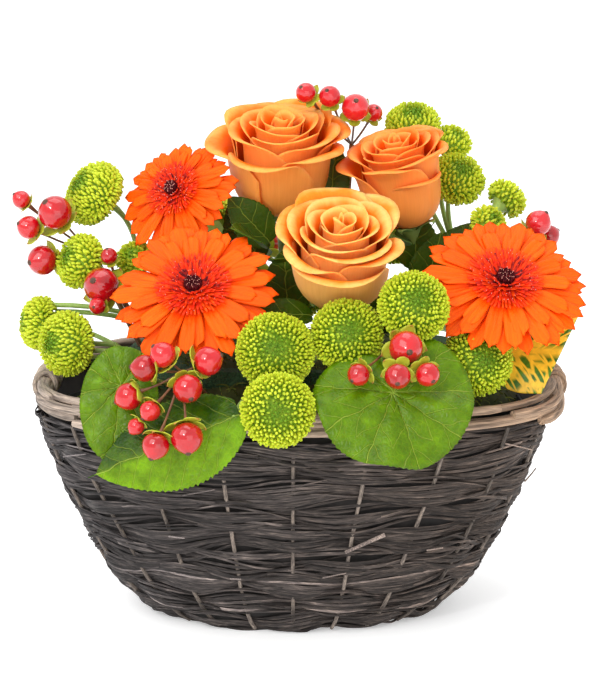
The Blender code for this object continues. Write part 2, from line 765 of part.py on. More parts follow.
# ---------------------------------------------------------------- leaves
def leaf_matrix(hub, tip, facing):
    """Local +Y runs to the tip, and local +Z is the upper face, as near the facing as it can be."""
    along = direction(*tip)
    up = direction(*facing)
    side = along.cross(up).normalized()
    up = side.cross(along)
    turn = Matrix((side, along, up)).transposed().to_4x4()
    return Matrix.Translation(millimetres(hub)) @ turn


def leaf_outline(kind, u, v):
    """Where a leaf's edge runs: shares of its half-width and its length, from its hub."""
    if kind == "round":
        half = math.sqrt(max(1 - (2 * v - 0.92) ** 2 / 1.12, 0.02)) ** 0.9
        notch = 0.10 * (abs(u) - 0.5) * (1 - v / 0.2) if v < 0.2 else 0.0
        return u * half, v - 0.34 - notch
    if kind == "pointed":
        return u * math.sin(math.pi * min(v + 0.06, 1) ** 0.85) ** 0.75, v
    corner = 0.22 * (0.35 - u) * v**3
    return u * (0.35 + 0.65 * math.sin(min(v / 0.7, 1) * math.pi / 2)), v + corner


def leaf_shape(kind, length, width, wave, droop, fold):
    """The blade over its outline, waved towards its edge, folded along its midrib and drooping to its tip."""

    def shape(u, v):
        across, along = leaf_outline(kind, u, v)
        x = across * width / 2
        y = along * length
        share = math.hypot(x, y) / (length * 0.6)
        ripple = wave * math.sin(5 * math.atan2(x, y + 0.001)) * min(share, 1.2) ** 2
        return Vector((x, y, ripple - droop * share**2 - fold * abs(x)))

    return shape


def make_leaf(name, kind, hub, tip, facing, length, width, wave, droop, fold, foot):
    matrix = leaf_matrix(hub, tip, facing)
    shape = leaf_shape(kind, length * MM, width * MM, wave * MM, droop * MM, fold)
    bm = blade(shape, 5, 5, LEAF_THICK)
    bmesh.ops.transform(bm, verts=bm.verts, matrix=matrix)
    start = matrix @ Vector((0, 0.04 * length * MM, -LEAF_THICK * 0.5))
    end = Vector((*(Vector(foot) * MM), FOAM_TOP - LEAF_STALK_DEPTH))
    inward = Vector((end.x - start.x, end.y - start.y, 0)).normalized()
    under = matrix.to_3x3() @ Vector((0, 0, -1))
    points = bend(start, (inward + under * 0.4 + Vector((0, 0, 0.6))).normalized(), end)
    plant(points, STEM_RADIUS)
    green = material(name + "_green", (0.06, 0.2, 0.03), 0.4)
    return fused(name, [bm, tube(points, STEM_RADIUS)], green)


def rose_leaflet(root, tip, facing, length, width):
    shape = leaf_shape("pointed", length * MM, width * MM, 0, 2 * MM, -0.25)
    bm = blade(shape, 2, 3, LEAF_THICK)
    bmesh.ops.transform(bm, verts=bm.verts, matrix=leaf_matrix(root, tip, facing))
    return bm


def main():
    clear_scene()
    make_basket_wall()
    make_rim()
    make_tray()
    foam = make_foam()
    make_moss()
    for name, (place, facing, length, radius, seed) in ROSES.items():
        make_rose(name, place, facing, length, radius, seed)
        leaflets = [values for rose, *values in ROSE_LEAFLETS if rose == name]
        cup = radius * 0.2 * MM
        make_single_stem(name + "_stem", place, facing, 0, cup, 7 * MM, THICK_STEM_RADIUS, leaflets)
    for name, (place, facing, radius) in GERBERAS.items():
        make_gerbera(name, place, facing, radius)
        drop = GERBERA_HUB_DROP
        make_single_stem(name + "_stem", place, facing, drop, 7 * MM, 6 * MM, THICK_STEM_RADIUS)
    for name, (place, facing, radius) in MUMS.items():
        make_mum(name, place, facing, radius)
    for name, (fork, heads) in MUM_SPRAYS.items():
        make_mum_spray(name, fork, heads)
    for name, (fork, berries) in BERRY_SPRAYS.items():
        make_berry_spray(name, fork, berries)
    for name, values in LEAVES.items():
        make_leaf(name, *values)
    paint = foam.data.materials[0]
    cutters = [object_from(bm, f"stem_hole_{i}", paint) for i, bm in enumerate(FOAM_CUTTERS)]
    boolean(foam, "DIFFERENCE", cutters)


main()
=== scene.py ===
"""Looks of the flower basket arrangement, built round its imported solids.

Metres, +Z up, -Y the front. Every piece keeps its object at the origin, with its place in its mesh.
Tables that repeat the solids' own layout are in millimetres; a direction is (azimuth, elevation) in
degrees, azimuth 0 facing the front (-Y) and 90 facing +X.
"""

import math
import random

import bmesh
import bpy
import numpy as np
from bpy.props import FloatProperty, FloatVectorProperty, IntProperty, PointerProperty
from mathutils import Matrix, Vector


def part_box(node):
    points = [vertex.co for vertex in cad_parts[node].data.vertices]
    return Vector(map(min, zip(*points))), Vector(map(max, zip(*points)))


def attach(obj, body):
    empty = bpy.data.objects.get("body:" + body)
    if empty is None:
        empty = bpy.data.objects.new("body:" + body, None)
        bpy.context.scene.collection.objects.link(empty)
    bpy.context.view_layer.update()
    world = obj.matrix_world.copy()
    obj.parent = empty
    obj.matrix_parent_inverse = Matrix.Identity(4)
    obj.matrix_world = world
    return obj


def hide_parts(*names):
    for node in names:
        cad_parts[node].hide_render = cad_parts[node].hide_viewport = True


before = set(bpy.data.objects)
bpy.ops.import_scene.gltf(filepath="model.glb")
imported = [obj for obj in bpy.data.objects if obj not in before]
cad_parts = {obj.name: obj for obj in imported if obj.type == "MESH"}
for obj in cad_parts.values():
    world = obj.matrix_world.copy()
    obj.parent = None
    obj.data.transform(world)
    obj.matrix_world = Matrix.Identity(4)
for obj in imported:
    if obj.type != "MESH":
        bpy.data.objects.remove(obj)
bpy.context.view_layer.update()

bl_info = {
    "name": "Flower basket arrangement",
    "version": (1, 0, 0),
    "blender": (4, 5, 0),
    "location": "View3D > Sidebar > Flower basket",
    "description": "Builds the finished pieces of a woven basket filled with cut flowers",
    "category": "Object",
}

MM = 0.001
MERGE = 1e-7  # vertices nearer than this are one
GOLDEN_TURN = math.radians(137.508)
UP = Vector((0, 0, 1))
BLACK = (0, 0, 0)
WHITE = (1, 1, 1)


# ---------------------------------------------------------------- shapes
def direction(azimuth, elevation):
    a = math.radians(azimuth)
    e = math.radians(elevation)
    return Vector((math.sin(a) * math.cos(e), -math.cos(a) * math.cos(e), math.sin(e)))


def around(angle, reach, height=0.0):
    """A place at an angle and a reach from the local Z axis, at a height on it."""
    return Vector((math.cos(angle) * reach, math.sin(angle) * reach, height))


def millimetres(place):
    return Vector(place) * MM


def facing_matrix(place, z_axis):
    """A matrix to a place, with local +Z along an axis and local +Y as high as it can be."""
    x_axis = UP.cross(z_axis).normalized()
    turn = Matrix((x_axis, z_axis.cross(x_axis), z_axis)).transposed().to_4x4()
    return Matrix.Translation(place) @ turn


def leaf_matrix(hub, tip, facing):
    """Local +Y runs to the tip, and local +Z is the upper face, as near the facing as it can be."""
    along = direction(*tip)
    side = along.cross(direction(*facing)).normalized()
    turn = Matrix((side, along, side.cross(along))).transposed().to_4x4()
    return Matrix.Translation(millimetres(hub)) @ turn


def interpolate(table, x):
    """The value at x of a table of (place, value) in rising order, with straight runs between."""
    for (x0, y0), (x1, y1) in zip(table, table[1:]):
        if x <= x1:
            return y0 + (y1 - y0) * max(x - x0, 0) / (x1 - x0)
    return table[-1][1]


def new_bmesh():
    bm = bmesh.new()
    bm.loops.layers.uv.new("UVMap")
    bm.verts.layers.float.new("tone")
    return bm


def add_grid(bm, across, along, shape, tone=0.5, material=0):
    """Faces over shape(u, v), u in -1..1 and v in 0..1; tone is a number or a function of u and v."""
    made = bmesh.ops.create_grid(bm, x_segments=across, y_segments=along, size=1, calc_uvs=True)["verts"]
    layer = bm.verts.layers.float["tone"]
    for vert in made:
        u, v = vert.co.x, (vert.co.y + 1) / 2
        vert.co = shape(u, v)
        vert[layer] = tone(u, v) if callable(tone) else tone
    if material:
        for face in {face for vert in made for face in vert.link_faces}:
            face.material_index = material
    return made


def add_tube(bm, points, radii, sides=8, tone=0.5, material=0, flat=1.0, side=None, closed=False):
    """A tube along points with a radius at each, its ends drawn in to a point unless it is closed.
    flat is its width along the side direction, as a share of its height."""
    if not closed:
        points = [points[0], *points, points[-1]]
        radii = [0, *radii, 0]
    last = len(points) - 1
    side = side or (points[2] - points[1]).orthogonal()
    frames = []
    for i, point in enumerate(points):
        before, after = points[max(i - 1, 0)], points[min(i + 1, last)]
        if closed and i in (0, last):
            before, after = points[last - 1], points[1]
        along = (after - before).normalized()
        side = (side - along * side.dot(along)).normalized()
        frames.append((point, side, along.cross(side)))

    def shape(u, v):
        ring = round(v * last)
        point, out, up = frames[ring]
        angle = math.pi * (u + 1)
        return point + (out * math.cos(angle) * flat + up * math.sin(angle)) * radii[ring]

    made = add_grid(bm, sides, last, shape, tone, material)
    bmesh.ops.remove_doubles(bm, verts=made, dist=MERGE)


def bend(start, start_way, end, steps=8, pull=0.4):
    """Points on a curve that leaves its start along a direction and runs on to its end."""
    middle = start + start_way * ((end - start).length * pull)
    shares = [i / steps for i in range(steps + 1)]
    return [start * (1 - t) ** 2 + middle * 2 * t * (1 - t) + end * t**2 for t in shares]


def template(build):
    """A small mesh made once by build(bm), to be stamped many times."""
    bm = new_bmesh()
    build(bm)
    mesh = bpy.data.meshes.new("template")
    bm.to_mesh(mesh)
    bm.free()
    return mesh


def stamp(bm, mesh, matrix, tone=None):
    """Add a copy of a template at a matrix, with its own tone if one is given."""
    copy = mesh.copy()
    copy.transform(matrix)
    if tone is not None:
        copy.attributes["tone"].data.foreach_set("value", [tone] * len(copy.vertices))
    bm.from_mesh(copy)
    bpy.data.meshes.remove(copy)


def piece(bm, name, paints, replaces=(), slot=None, thickness=0.0, smooth=50, second=0):
    """Finish a bmesh as a piece: its materials, its wall thickness, and its place in the frame.
    smooth is the sharpest smooth edge in degrees, and second the material of the wall's inner face."""
    mesh = bpy.data.meshes.new(name)
    bm.to_mesh(mesh)
    bm.free()
    for paint in paints:
        mesh.materials.append(paint)
    mesh.shade_smooth()
    mesh.set_sharp_from_angle(angle=math.radians(smooth))
    made = bpy.data.objects.new(name, mesh)
    bpy.context.scene.collection.objects.link(made)
    if thickness:
        wall = made.modifiers.new("wall", "SOLIDIFY")
        wall.thickness = thickness
        wall.offset = 0
        wall.material_offset = second
        wall.material_offset_rim = second
    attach(made, "root")
    if replaces:
        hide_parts(*replaces)


def cad_points(node):
    return np.array([vert.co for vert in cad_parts[node].data.vertices])


def flat_frame(node):
    """A matrix to the middle of a flat round bloom, local +Z out of its face, and its radius."""
    points = cad_points(node)
    middle = points.mean(axis=0)
    normal = Vector(np.linalg.svd(points - middle, full_matrices=False)[2][2])
    outward = Vector(middle) - Vector((0, 0, 0.1))
    if normal.dot(outward) < 0:
        normal = -normal
    matrix = facing_matrix(Vector(middle), normal)
    local = (points - middle) @ np.array(matrix.to_3x3())
    return matrix, float(np.hypot(local[:, 0], local[:, 1]).max())


# ---------------------------------------------------------------- materials
class Paint:
    """A node material being put together. Each method returns the socket that it makes."""

    def __init__(self, name, roughness=0.6, sockets=None):
        self.material = bpy.data.materials.new(name)
        self.material.use_nodes = True
        self.tree = self.material.node_tree
        self.shader = self.tree.nodes["Principled BSDF"]
        self.shader.inputs["Roughness"].default_value = roughness
        for socket, value in (sockets or {}).items():
            self.shader.inputs[socket].default_value = value

    def node(self, kind, output, inputs=None, **settings):
        made = self.tree.nodes.new(kind)
        for key, value in settings.items():
            setattr(made, key, value)
        for key, value in (inputs or {}).items():
            if isinstance(value, bpy.types.NodeSocket):
                self.tree.links.new(value, made.inputs[key])
            else:
                made.inputs[key].default_value = value
        return made.outputs[output]

    def place(self, scale=(1, 1, 1), kind="Object"):
        source = self.node("ShaderNodeTexCoord", kind)
        return self.node("ShaderNodeMapping", 0, {"Vector": source, "Scale": scale})

    def tone(self):
        return self.node("ShaderNodeAttribute", "Fac", attribute_name="tone")

    def noise(self, vector, scale, detail=3.0, distortion=0.0):
        values = {"Vector": vector, "Scale": scale, "Detail": detail, "Distortion": distortion}
        return self.node("ShaderNodeTexNoise", "Fac", values)

    def cells(self, vector, scale, feature="DISTANCE_TO_EDGE"):
        values = {"Vector": vector, "Scale": scale}
        return self.node("ShaderNodeTexVoronoi", "Distance", values, feature=feature)

    def split(self, vector, axis):
        return self.node("ShaderNodeSeparateXYZ", axis, {0: vector})

    def math(self, operation, first, second=0.5):
        return self.node("ShaderNodeMath", 0, {0: first, 1: second}, operation=operation)

    def total(self, *terms):
        """Values added up, each (value, share) times its share."""
        result = None
        for value, share in terms:
            part = value if share == 1 else self.math("MULTIPLY", value, share)
            result = part if result is None else self.math("ADD", result, part)
        return result

    def uneven(self, value, pattern, amount):
        """A value moved up and down by a pattern whose middle is a half."""
        return self.total((value, 1), (self.math("SUBTRACT", pattern, 0.5), amount))

    def ramp(self, value, *stops):
        made = self.tree.nodes.new("ShaderNodeValToRGB")
        elements = made.color_ramp.elements
        while len(elements) < len(stops):
            elements.new(1.0)
        for element, (place, colour) in zip(elements, stops):
            element.position = place
            element.color = (*colour, 1)
        self.tree.links.new(value, made.inputs[0])
        return made.outputs[0]

    def mix(self, share, first, second, blend="MIX"):
        second = second if isinstance(second, bpy.types.NodeSocket) else (*second, 1)
        values = {0: share, 6: first, 7: second}
        return self.node("ShaderNodeMix", 2, values, data_type="RGBA", blend_type=blend)

    def tinted(self, base, *tints):
        """A colour multiplied by one tint after another."""
        for tint in tints:
            base = self.mix(1.0, base, tint, "MULTIPLY")
        return base

    def finish(self, colour, height=None, strength=0.3, distance=0.0004):
        """Link the colour, and a bump of the height with its strength and its depth in metres."""
        self.tree.links.new(colour, self.shader.inputs["Base Color"])
        if height is not None:
            values = {"Height": height, "Strength": strength, "Distance": distance}
            self.tree.links.new(self.node("ShaderNodeBump", 0, values), self.shader.inputs["Normal"])
        return self.material


def shade(colour, factor):
    return tuple(min(channel * factor, 1.0) for channel in colour)


def soft(weight, scale, specular=0.5, **more):
    """Socket values of a plant: how much light goes through it, how deep (m), and its specular level."""
    sockets = {"Subsurface Weight": weight, "Subsurface Scale": scale, "Specular IOR Level": specular}
    for name, value in more.items():
        sockets[name.replace("_", " ").title()] = value
    return sockets


def willow_paint(name, colour, grain=(2, 34), light=(1.9, 1.9), drift=None):
    """Split willow: each strand has its own tone, with streaks and fibres that run along it.
    grain counts the streaks (round a strand, along it), light is how pale the palest strands and
    streaks are, and drift tints it from left to right: painted side light, one colour cast at the left and
    another at the right."""
    paint = Paint(name, 0.62, {"Specular IOR Level": 0.22})
    streaks = paint.noise(paint.place((grain[0], grain[1], 1), "UV"), 2.0, 4.0, 0.3)
    fibres = paint.noise(paint.place((grain[0] * 5, grain[1] * 2.5, 1), "UV"), 2.5, 3.0)
    patch = paint.noise(paint.place(), 55.0, 3.0)
    tone = paint.total((paint.tone(), 0.5), (patch, 0.45))
    base = paint.ramp(tone, (0.15, shade(colour, 0.4)), (0.5, colour), (0.75, shade(colour, light[0])),
                      (1.0, shade(colour, 6.0)))
    streak = paint.ramp(streaks, (0.32, (0.36, 0.35, 0.35)), (0.52, WHITE),
                        (0.75, (light[1], light[1] * 0.96, light[1] * 0.9)))
    fibre = paint.ramp(fibres, (0.36, (0.6, 0.6, 0.6)), (0.64, (1.4, 1.38, 1.35)))
    base = paint.tinted(base, streak, fibre)
    # painted side light: a tint that runs from the left colour of drift to its right one
    if drift:
        across = paint.math("ADD", paint.math("MULTIPLY", paint.split(paint.place(), "X"), 4.0), 0.5)
        base = paint.tinted(base, paint.ramp(across, (0.0, drift[0]), (1.0, drift[1])))
    return paint.finish(base, paint.total((streaks, 1), (fibres, 0.7)), 0.6, 0.0006)


def petal_paint(name, colour, deep, lip):
    """Soft petal: deeper at its foot, paler at its lip, with faint veins that run up it."""
    paint = Paint(name, 0.5, soft(0.3, 0.008, 0.12, subsurface_radius=(1.0, 0.35, 0.08)))
    height = paint.split(paint.place(kind="UV"), "Y")
    veins = paint.noise(paint.place((26, 1.4, 1), "UV"), 2.0, 4.0)
    share = paint.uneven(height, paint.noise(paint.place(), 60.0, 3.0), 0.35)
    base = paint.ramp(share, (0.1, deep), (0.62, colour), (0.9, colour), (1.0, lip))
    tint = paint.ramp(veins, (0.3, (0.93, 0.88, 0.82)), (0.7, WHITE))
    return paint.finish(paint.tinted(base, tint), veins, 0.25, 0.0004)


def ray_paint(name, colour, deep):
    """Gerbera ray: bright, with darker lines along it and a redder foot."""
    paint = Paint(name, 0.5, soft(0.08, 0.004, 0.12))
    lines = paint.noise(paint.place((9, 0.6, 1), "UV"), 2.4, 3.0)
    height = paint.split(paint.place(kind="UV"), "Y")
    base = paint.ramp(height, (0.18, deep), (0.42, colour), (0.92, shade(colour, 1.12)))
    tone = paint.ramp(paint.tone(), (0.0, (0.86, 0.74, 0.7)), (1.0, (1.1, 1.12, 1.1)))
    line = paint.ramp(lines, (0.35, (0.88, 0.74, 0.66)), (0.65, (1.05, 1.05, 1.05)))
    return paint.finish(paint.tinted(base, line, tone), lines, 0.4, 0.0005)


def toned_paint(name, stops, roughness=0.5, scale=400.0, sockets=None):
    """A finish whose colour runs over the tone of its vertices, with small uneven patches."""
    paint = Paint(name, roughness, sockets)
    patch = paint.noise(paint.place(), scale, 3.0)
    tone = paint.uneven(paint.tone(), patch, 0.35)
    return paint.finish(paint.ramp(tone, *stops), patch, 0.2, 0.0003)


def leaf_paint(name, colour, dark):
    """Dull underside of a leaf: uneven green with a fine net of small veins."""
    paint = Paint(name, 0.6, soft(0.05, 0.003, 0.25, coat_weight=0.08, coat_roughness=0.25))
    place = paint.place()
    net = paint.cells(place, 420.0)
    patch = paint.noise(place, 70.0, 4.0)
    tone = paint.uneven(paint.tone(), patch, 0.7)
    base = paint.ramp(tone, (0.05, dark), (0.75, colour), (1.0, shade(colour, 1.35)))
    lines = paint.ramp(net, (0.0, (1.18, 1.14, 1.1)), (0.12, (0.97, 0.98, 0.97)))
    return paint.finish(paint.tinted(base, lines), paint.total((net, 1), (patch, 0.6)), 0.35, 0.0006)


def croton_paint(name, green, yellow):
    """Croton: long dark green cells between slanting yellow veins, beside a broad yellow midrib."""
    paint = Paint(name, 0.25, {"Coat Weight": 0.12, "Coat Roughness": 0.15, "Specular IOR Level": 0.3})
    place = paint.place(kind="UV")
    across = paint.math("ABSOLUTE", paint.math("SUBTRACT", paint.split(place, "X"), 0.5))
    slanted = paint.math("SUBTRACT", paint.split(place, "Y"), paint.math("MULTIPLY", across, 0.9))
    vector = paint.node("ShaderNodeCombineXYZ", 0, {0: paint.math("MULTIPLY", across, 5.0),
                                                    1: paint.math("MULTIPLY", slanted, 11.0)})
    net = paint.cells(vector, 1.0)
    rib = paint.ramp(across, (0.02, WHITE), (0.09, BLACK))
    vein = paint.ramp(net, (0.09, WHITE), (0.2, BLACK))
    share = paint.mix(1.0, rib, vein, "LIGHTEN")
    patch = paint.noise(place, 12.0, 3.0)
    dark = paint.ramp(patch, (0.3, green), (0.75, shade(green, 3.0)))
    light = paint.ramp(patch, (0.3, yellow), (0.7, shade(yellow, 0.72)))
    return paint.finish(paint.mix(share, dark, light), net, 0.3, 0.0005)


# ---------------------------------------------------------------- settings
def size(name, description, default, largest=0.1):
    return FloatProperty(name=name, description=description, default=default, min=0.0001, max=largest,
                         subtype="DISTANCE", unit="LENGTH")


def colour(name, description, default):
    return FloatVectorProperty(name=name, description=description, default=default, size=3, min=0.0, max=1.0,
                               subtype="COLOR")


def count(name, description, default):
    return IntProperty(name=name, description=description, default=default, min=1, max=400)


class FLOWERBASKET_PG_basket(bpy.types.PropertyGroup):
    stakes: count("Stakes", "Upright stakes round the bowl, an even number", 24)
    rows: count("Rows", "Bands of weaving from base to rim", 9)
    strands: count("Strands", "Split strands in each band", 13)
    strand_height: size("Strand height", "Height of one split strand", 1.6 * MM)
    stake_radius: size("Stake radius", "Radius of an upright stake", 1.0 * MM)
    willow: colour("Willow", "Dark stained willow of the bowl", (0.052, 0.042, 0.038))
    rim: colour("Rim willow", "Grey-brown willow of the rim", (0.34, 0.265, 0.215))
    stake: colour("Stake willow", "Paler willow of the stakes", (0.17, 0.14, 0.12))


class FLOWERBASKET_PG_flowers(bpy.types.PropertyGroup):
    rose_petals: count("Rose petals", "Petals inside the outer ones of a rose", 14)
    rose_outside: colour("Rose outside", "Outer face of the rose petals", (1.0, 0.40, 0.11))
    rose_inside: colour("Rose inside", "Inner face of the rose petals", (1.0, 0.22, 0.014))
    rose_deep: colour("Rose folds", "Deep folds of the rose", (0.9, 0.085, 0.002))
    rose_lip: colour("Rose lip", "Rolled lips of the rose petals", (1.0, 0.46, 0.14))
    gerbera_rays: count("Gerbera rays", "Long rays in one layer of a gerbera", 18)
    gerbera: colour("Gerbera", "Rays of the gerberas", (1.0, 0.105, 0.001))
    gerbera_foot: colour("Gerbera foot", "Inner florets of the gerberas", (0.85, 0.03, 0.006))
    gerbera_disc: colour("Gerbera disc", "Dark middle of the gerberas", (0.05, 0.004, 0.006))
    mum: colour("Chrysanthemum", "Florets of the button chrysanthemums", (0.49, 0.57, 0.03))
    mum_middle: colour("Chrysanthemum middle", "Greener middle of each head", (0.12, 0.25, 0.008))
    floret_gap: size("Floret gap", "Distance between neighbouring florets", 1.95 * MM)
    rim_florets: count("Rim florets", "Pointed florets in each of two rings round a head", 26)
    berry: colour("Berry", "Ripe berries", (0.50, 0.003, 0.008))
    sepal: colour("Sepal", "Sepals behind the berries", (0.46, 0.52, 0.03))


class FLOWERBASKET_PG_leaves(bpy.types.PropertyGroup):
    leaf: colour("Leaf", "Upper face of the broad leaves", (0.088, 0.18, 0.001))
    leaf_dark: colour("Leaf shade", "Darker parts of the broad leaves", (0.014, 0.046, 0.001))
    vein: colour("Vein", "Veins of the broad leaves", (0.30, 0.40, 0.05))
    croton_green: colour("Croton green", "Cells of the croton leaf", (0.03, 0.085, 0.006))
    croton_yellow: colour("Croton yellow", "Veins of the croton leaf", (0.95, 0.58, 0.035))
    stem: colour("Stem", "Green stems", (0.30, 0.44, 0.10))
    moss: colour("Moss", "Moss over the foam", (0.13, 0.16, 0.022))
    thickness: size("Leaf thickness", "Thickness of the broad leaves", 0.5 * MM)


class FLOWERBASKET_PG_stage(bpy.types.PropertyGroup):
    floor: colour("Floor", "Plain pale floor", (0.93, 0.93, 0.93))
    target_height: size("Aim height", "Height that the camera looks at", 138 * MM, 1.0)
    distance: size("Distance", "Camera to the middle of the arrangement", 1200 * MM, 5.0)
    elevation: FloatProperty(name="Elevation", description="Camera above the horizon",
                             default=math.radians(12), subtype="ANGLE", unit="ROTATION")
    lens: FloatProperty(name="Lens", description="Focal length in millimetres", default=117.0,
                        min=20, max=300)


class FLOWERBASKET_PG_settings(bpy.types.PropertyGroup):
    basket: PointerProperty(type=FLOWERBASKET_PG_basket)
    flowers: PointerProperty(type=FLOWERBASKET_PG_flowers)
    leaves: PointerProperty(type=FLOWERBASKET_PG_leaves)
    stage: PointerProperty(type=FLOWERBASKET_PG_stage)


# ---------------------------------------------------------------- basket
# The bowl's half-width at shares of its height, as a share of its half-width under the rim
BOWL_PROFILE = ((0, 0.563), (0.044, 0.622), (0.123, 0.689), (0.263, 0.77), (0.456, 0.844),
                (0.737, 0.941), (1, 1))
# The plan's depth over its width, and the exponent of its curve, at the base and under the rim
DEPTH_SHARES = (0.70, 0.67)
FULLNESSES = (2.0, 3.4)
RIM_REACH = 7 * MM  # from the rim's middle line to its furthest point, at either end


class Bowl:
    """The bowl's woven surface and the line of its rim, read from their solids."""

    def __init__(self):
        low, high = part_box("basket_wall")
        self.middle = (low.x + high.x) / 2
        self.half_width = (high.x - low.x) / 2
        self.top = high.z
        low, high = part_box("basket_rim")
        self.rim_half_width = (high.x - low.x) / 2 - RIM_REACH
        self.rim_low = low.z
        self.rim_rise = high.z - low.z

    def plan(self, half_width, turn, z, outward=0.0):
        """On the plan's curve, turn 0 at the front and a quarter turn at +X, moved along its normal."""
        height = min(z / self.top, 1)
        share = DEPTH_SHARES[0] + (DEPTH_SHARES[1] - DEPTH_SHARES[0]) * height
        power = FULLNESSES[0] + (FULLNESSES[1] - FULLNESSES[0]) * height
        across, along = math.sin(turn), -math.cos(turn)
        reach = (abs(across) ** power + abs(along) ** power) ** (-1 / power)
        across *= reach
        along *= reach
        normal = Vector((math.copysign(abs(across) ** (power - 1), across) * share,
                         math.copysign(abs(along) ** (power - 1), along), 0)).normalized()
        return Vector((half_width * across, half_width * share * along, z)) + normal * outward

    def point(self, turn, z, outward=0.0):
        """A place on the woven surface at a height, moved outward."""
        half_width = self.half_width * interpolate(BOWL_PROFILE, z / self.top)
        return self.plan(half_width, turn, z, outward) + Vector((self.middle, 0, 0))

    def rim(self, turn, up, outward=0.0):
        """A place on the rim, up from its underside and outward from its middle line."""
        return self.plan(self.rim_half_width, turn, self.rim_low + up, outward)


WEAVE_SWING = 2.3 * MM  # how far a band swings out over a stake, and in behind the next
BAND_ROUND = 1.1 * MM  # how far a band's edges lie behind its middle
STRAND_STEPS = 6  # points of a strand from one stake to the next
STRAY_SHARE = 0.22  # of the strands, which wander between two bands
PALE_SHARE = 0.07  # of the strands, which are much paler than the rest


def add_strand(bm, bowl, settings, row, share, draw):
    """One split strand of a band, all the way round, over one stake and behind the next."""
    samples = settings.stakes * STRAND_STEPS
    row_height = bowl.top / settings.rows
    lean = draw.uniform(0, math.tau)
    sway = draw.uniform(0.3, 1.0) * MM
    beat = draw.choice((5, 7, 9, 11))
    depth = draw.uniform(-0.4, 0.4) * MM - BAND_ROUND * (2 * share) ** 2
    stray = draw.random() < STRAY_SHARE
    start = math.tau * int(samples * ((row * 0.618 + share * 7.3) % 1)) / samples
    points = []
    for i in range(samples + 1):
        turn = start + math.tau * i / samples
        wander = 1.5 * MM * math.sin(turn * 5 + row * 2.1) + 0.9 * MM * math.sin(turn * 11 + row * 4.3)
        drift = 0.6 * row_height * math.sin(turn * 3 + lean) if stray else 0.0
        swing = math.cos(turn * settings.stakes / 2 + math.pi * (row + drift / row_height))
        z = (row + 0.5 + share * (1.04 + 0.26 * swing)) * row_height
        z += wander + drift + sway * math.sin(turn * beat + lean)
        z = min(max(z, 0.7 * MM), bowl.top - 0.5 * MM)
        points.append(bowl.point(turn, z, WEAVE_SWING * (swing - 1) - 0.4 * MM + depth))
    radius = settings.strand_height / 2 * draw.uniform(0.7, 1.3)
    tone = draw.random() ** 1.3 if draw.random() < 1 - PALE_SHARE else 1.3
    add_tube(bm, points, [radius] * len(points), 5, tone, 0, 0.6, bowl.plan(1, start, 0), closed=True)


def make_weave(bowl, settings):
    draw = random.Random(5)
    bm = new_bmesh()
    for row in range(settings.rows):
        for k in range(settings.strands):
            share = (k + 0.5) / settings.strands - 0.5
            add_strand(bm, bowl, settings, row, share * 1.06, draw)
    for (start, height), sweep, rise, radius, tone in LOOSE_ENDS:
        points = []
        for t in (0, 0.17, 0.33, 0.5, 0.67, 0.83, 1):
            turn = math.radians(start + sweep * t)
            points.append(bowl.point(turn, (height + rise * t) * MM, (0.4 + 1.4 * t) * MM))
        radii = [radius * MM * (1 - 0.25 * t / 6) for t in range(7)]
        add_tube(bm, points, radii, 6, tone, 0, 0.7)
    paint = willow_paint("dark_willow", settings.willow, (2, 34), (1.6, 3.0), WILLOW_SIDE_LIGHT)
    piece(bm, "basket_weave", [paint], ["basket_wall"], "dark_willow")


# The willow's painted side light: a cool tint at the basket's left side, a warm one at its right
WILLOW_SIDE_LIGHT = ((0.93, 1.03, 1.16), (1.05, 0.97, 0.88))

# Loose strand ends: (turn in degrees, height in mm), sweep in degrees, rise and radius in mm, tone
LOOSE_ENDS = (
    ((22, 60), -9, -9, 1.5, 1.35),
    ((44, 106), 10, -7, 0.45, 2.4),
    ((-24, 82), 7, 4, 0.5, 1.3),
    ((-52, 96), 9, 5, 0.45, 1.4),
    ((62, 78), 6, 5, 0.5, 1.3),
    ((8, 36), 6, 3, 0.5, 1.4),
    ((34, 49), 4, 1, 0.6, 2.2),
    ((-17, 35), 3, 0.5, 0.5, 2.2),
    ((-30, 58), 4, 0, 0.6, 2.4),
    ((150, 70), 8, -5, 0.9, 1.3),
    ((205, 50), -8, 5, 0.6, 1.4),
    ((245, 90), 7, -4, 0.5, 1.3),
)


def make_stakes(bowl, settings):
    bm = new_bmesh()
    draw = random.Random(9)
    for k in range(settings.stakes):
        turn = math.tau * k / settings.stakes
        lean = math.radians(draw.uniform(-1.0, 1.0))
        points = []
        for i in range(25):
            z = (1.5 + i * 4.7) * MM
            points.append(bowl.point(turn + lean * math.sin(z * 40), z, -WEAVE_SWING))
        add_tube(bm, points, [settings.stake_radius] * len(points), 7, draw.random())
    paint = willow_paint("stake_willow", settings.stake, (2, 12), (1.3, 1.6))
    piece(bm, "basket_stakes", [paint], (), "dark_willow")


BASE_RINGS = 22


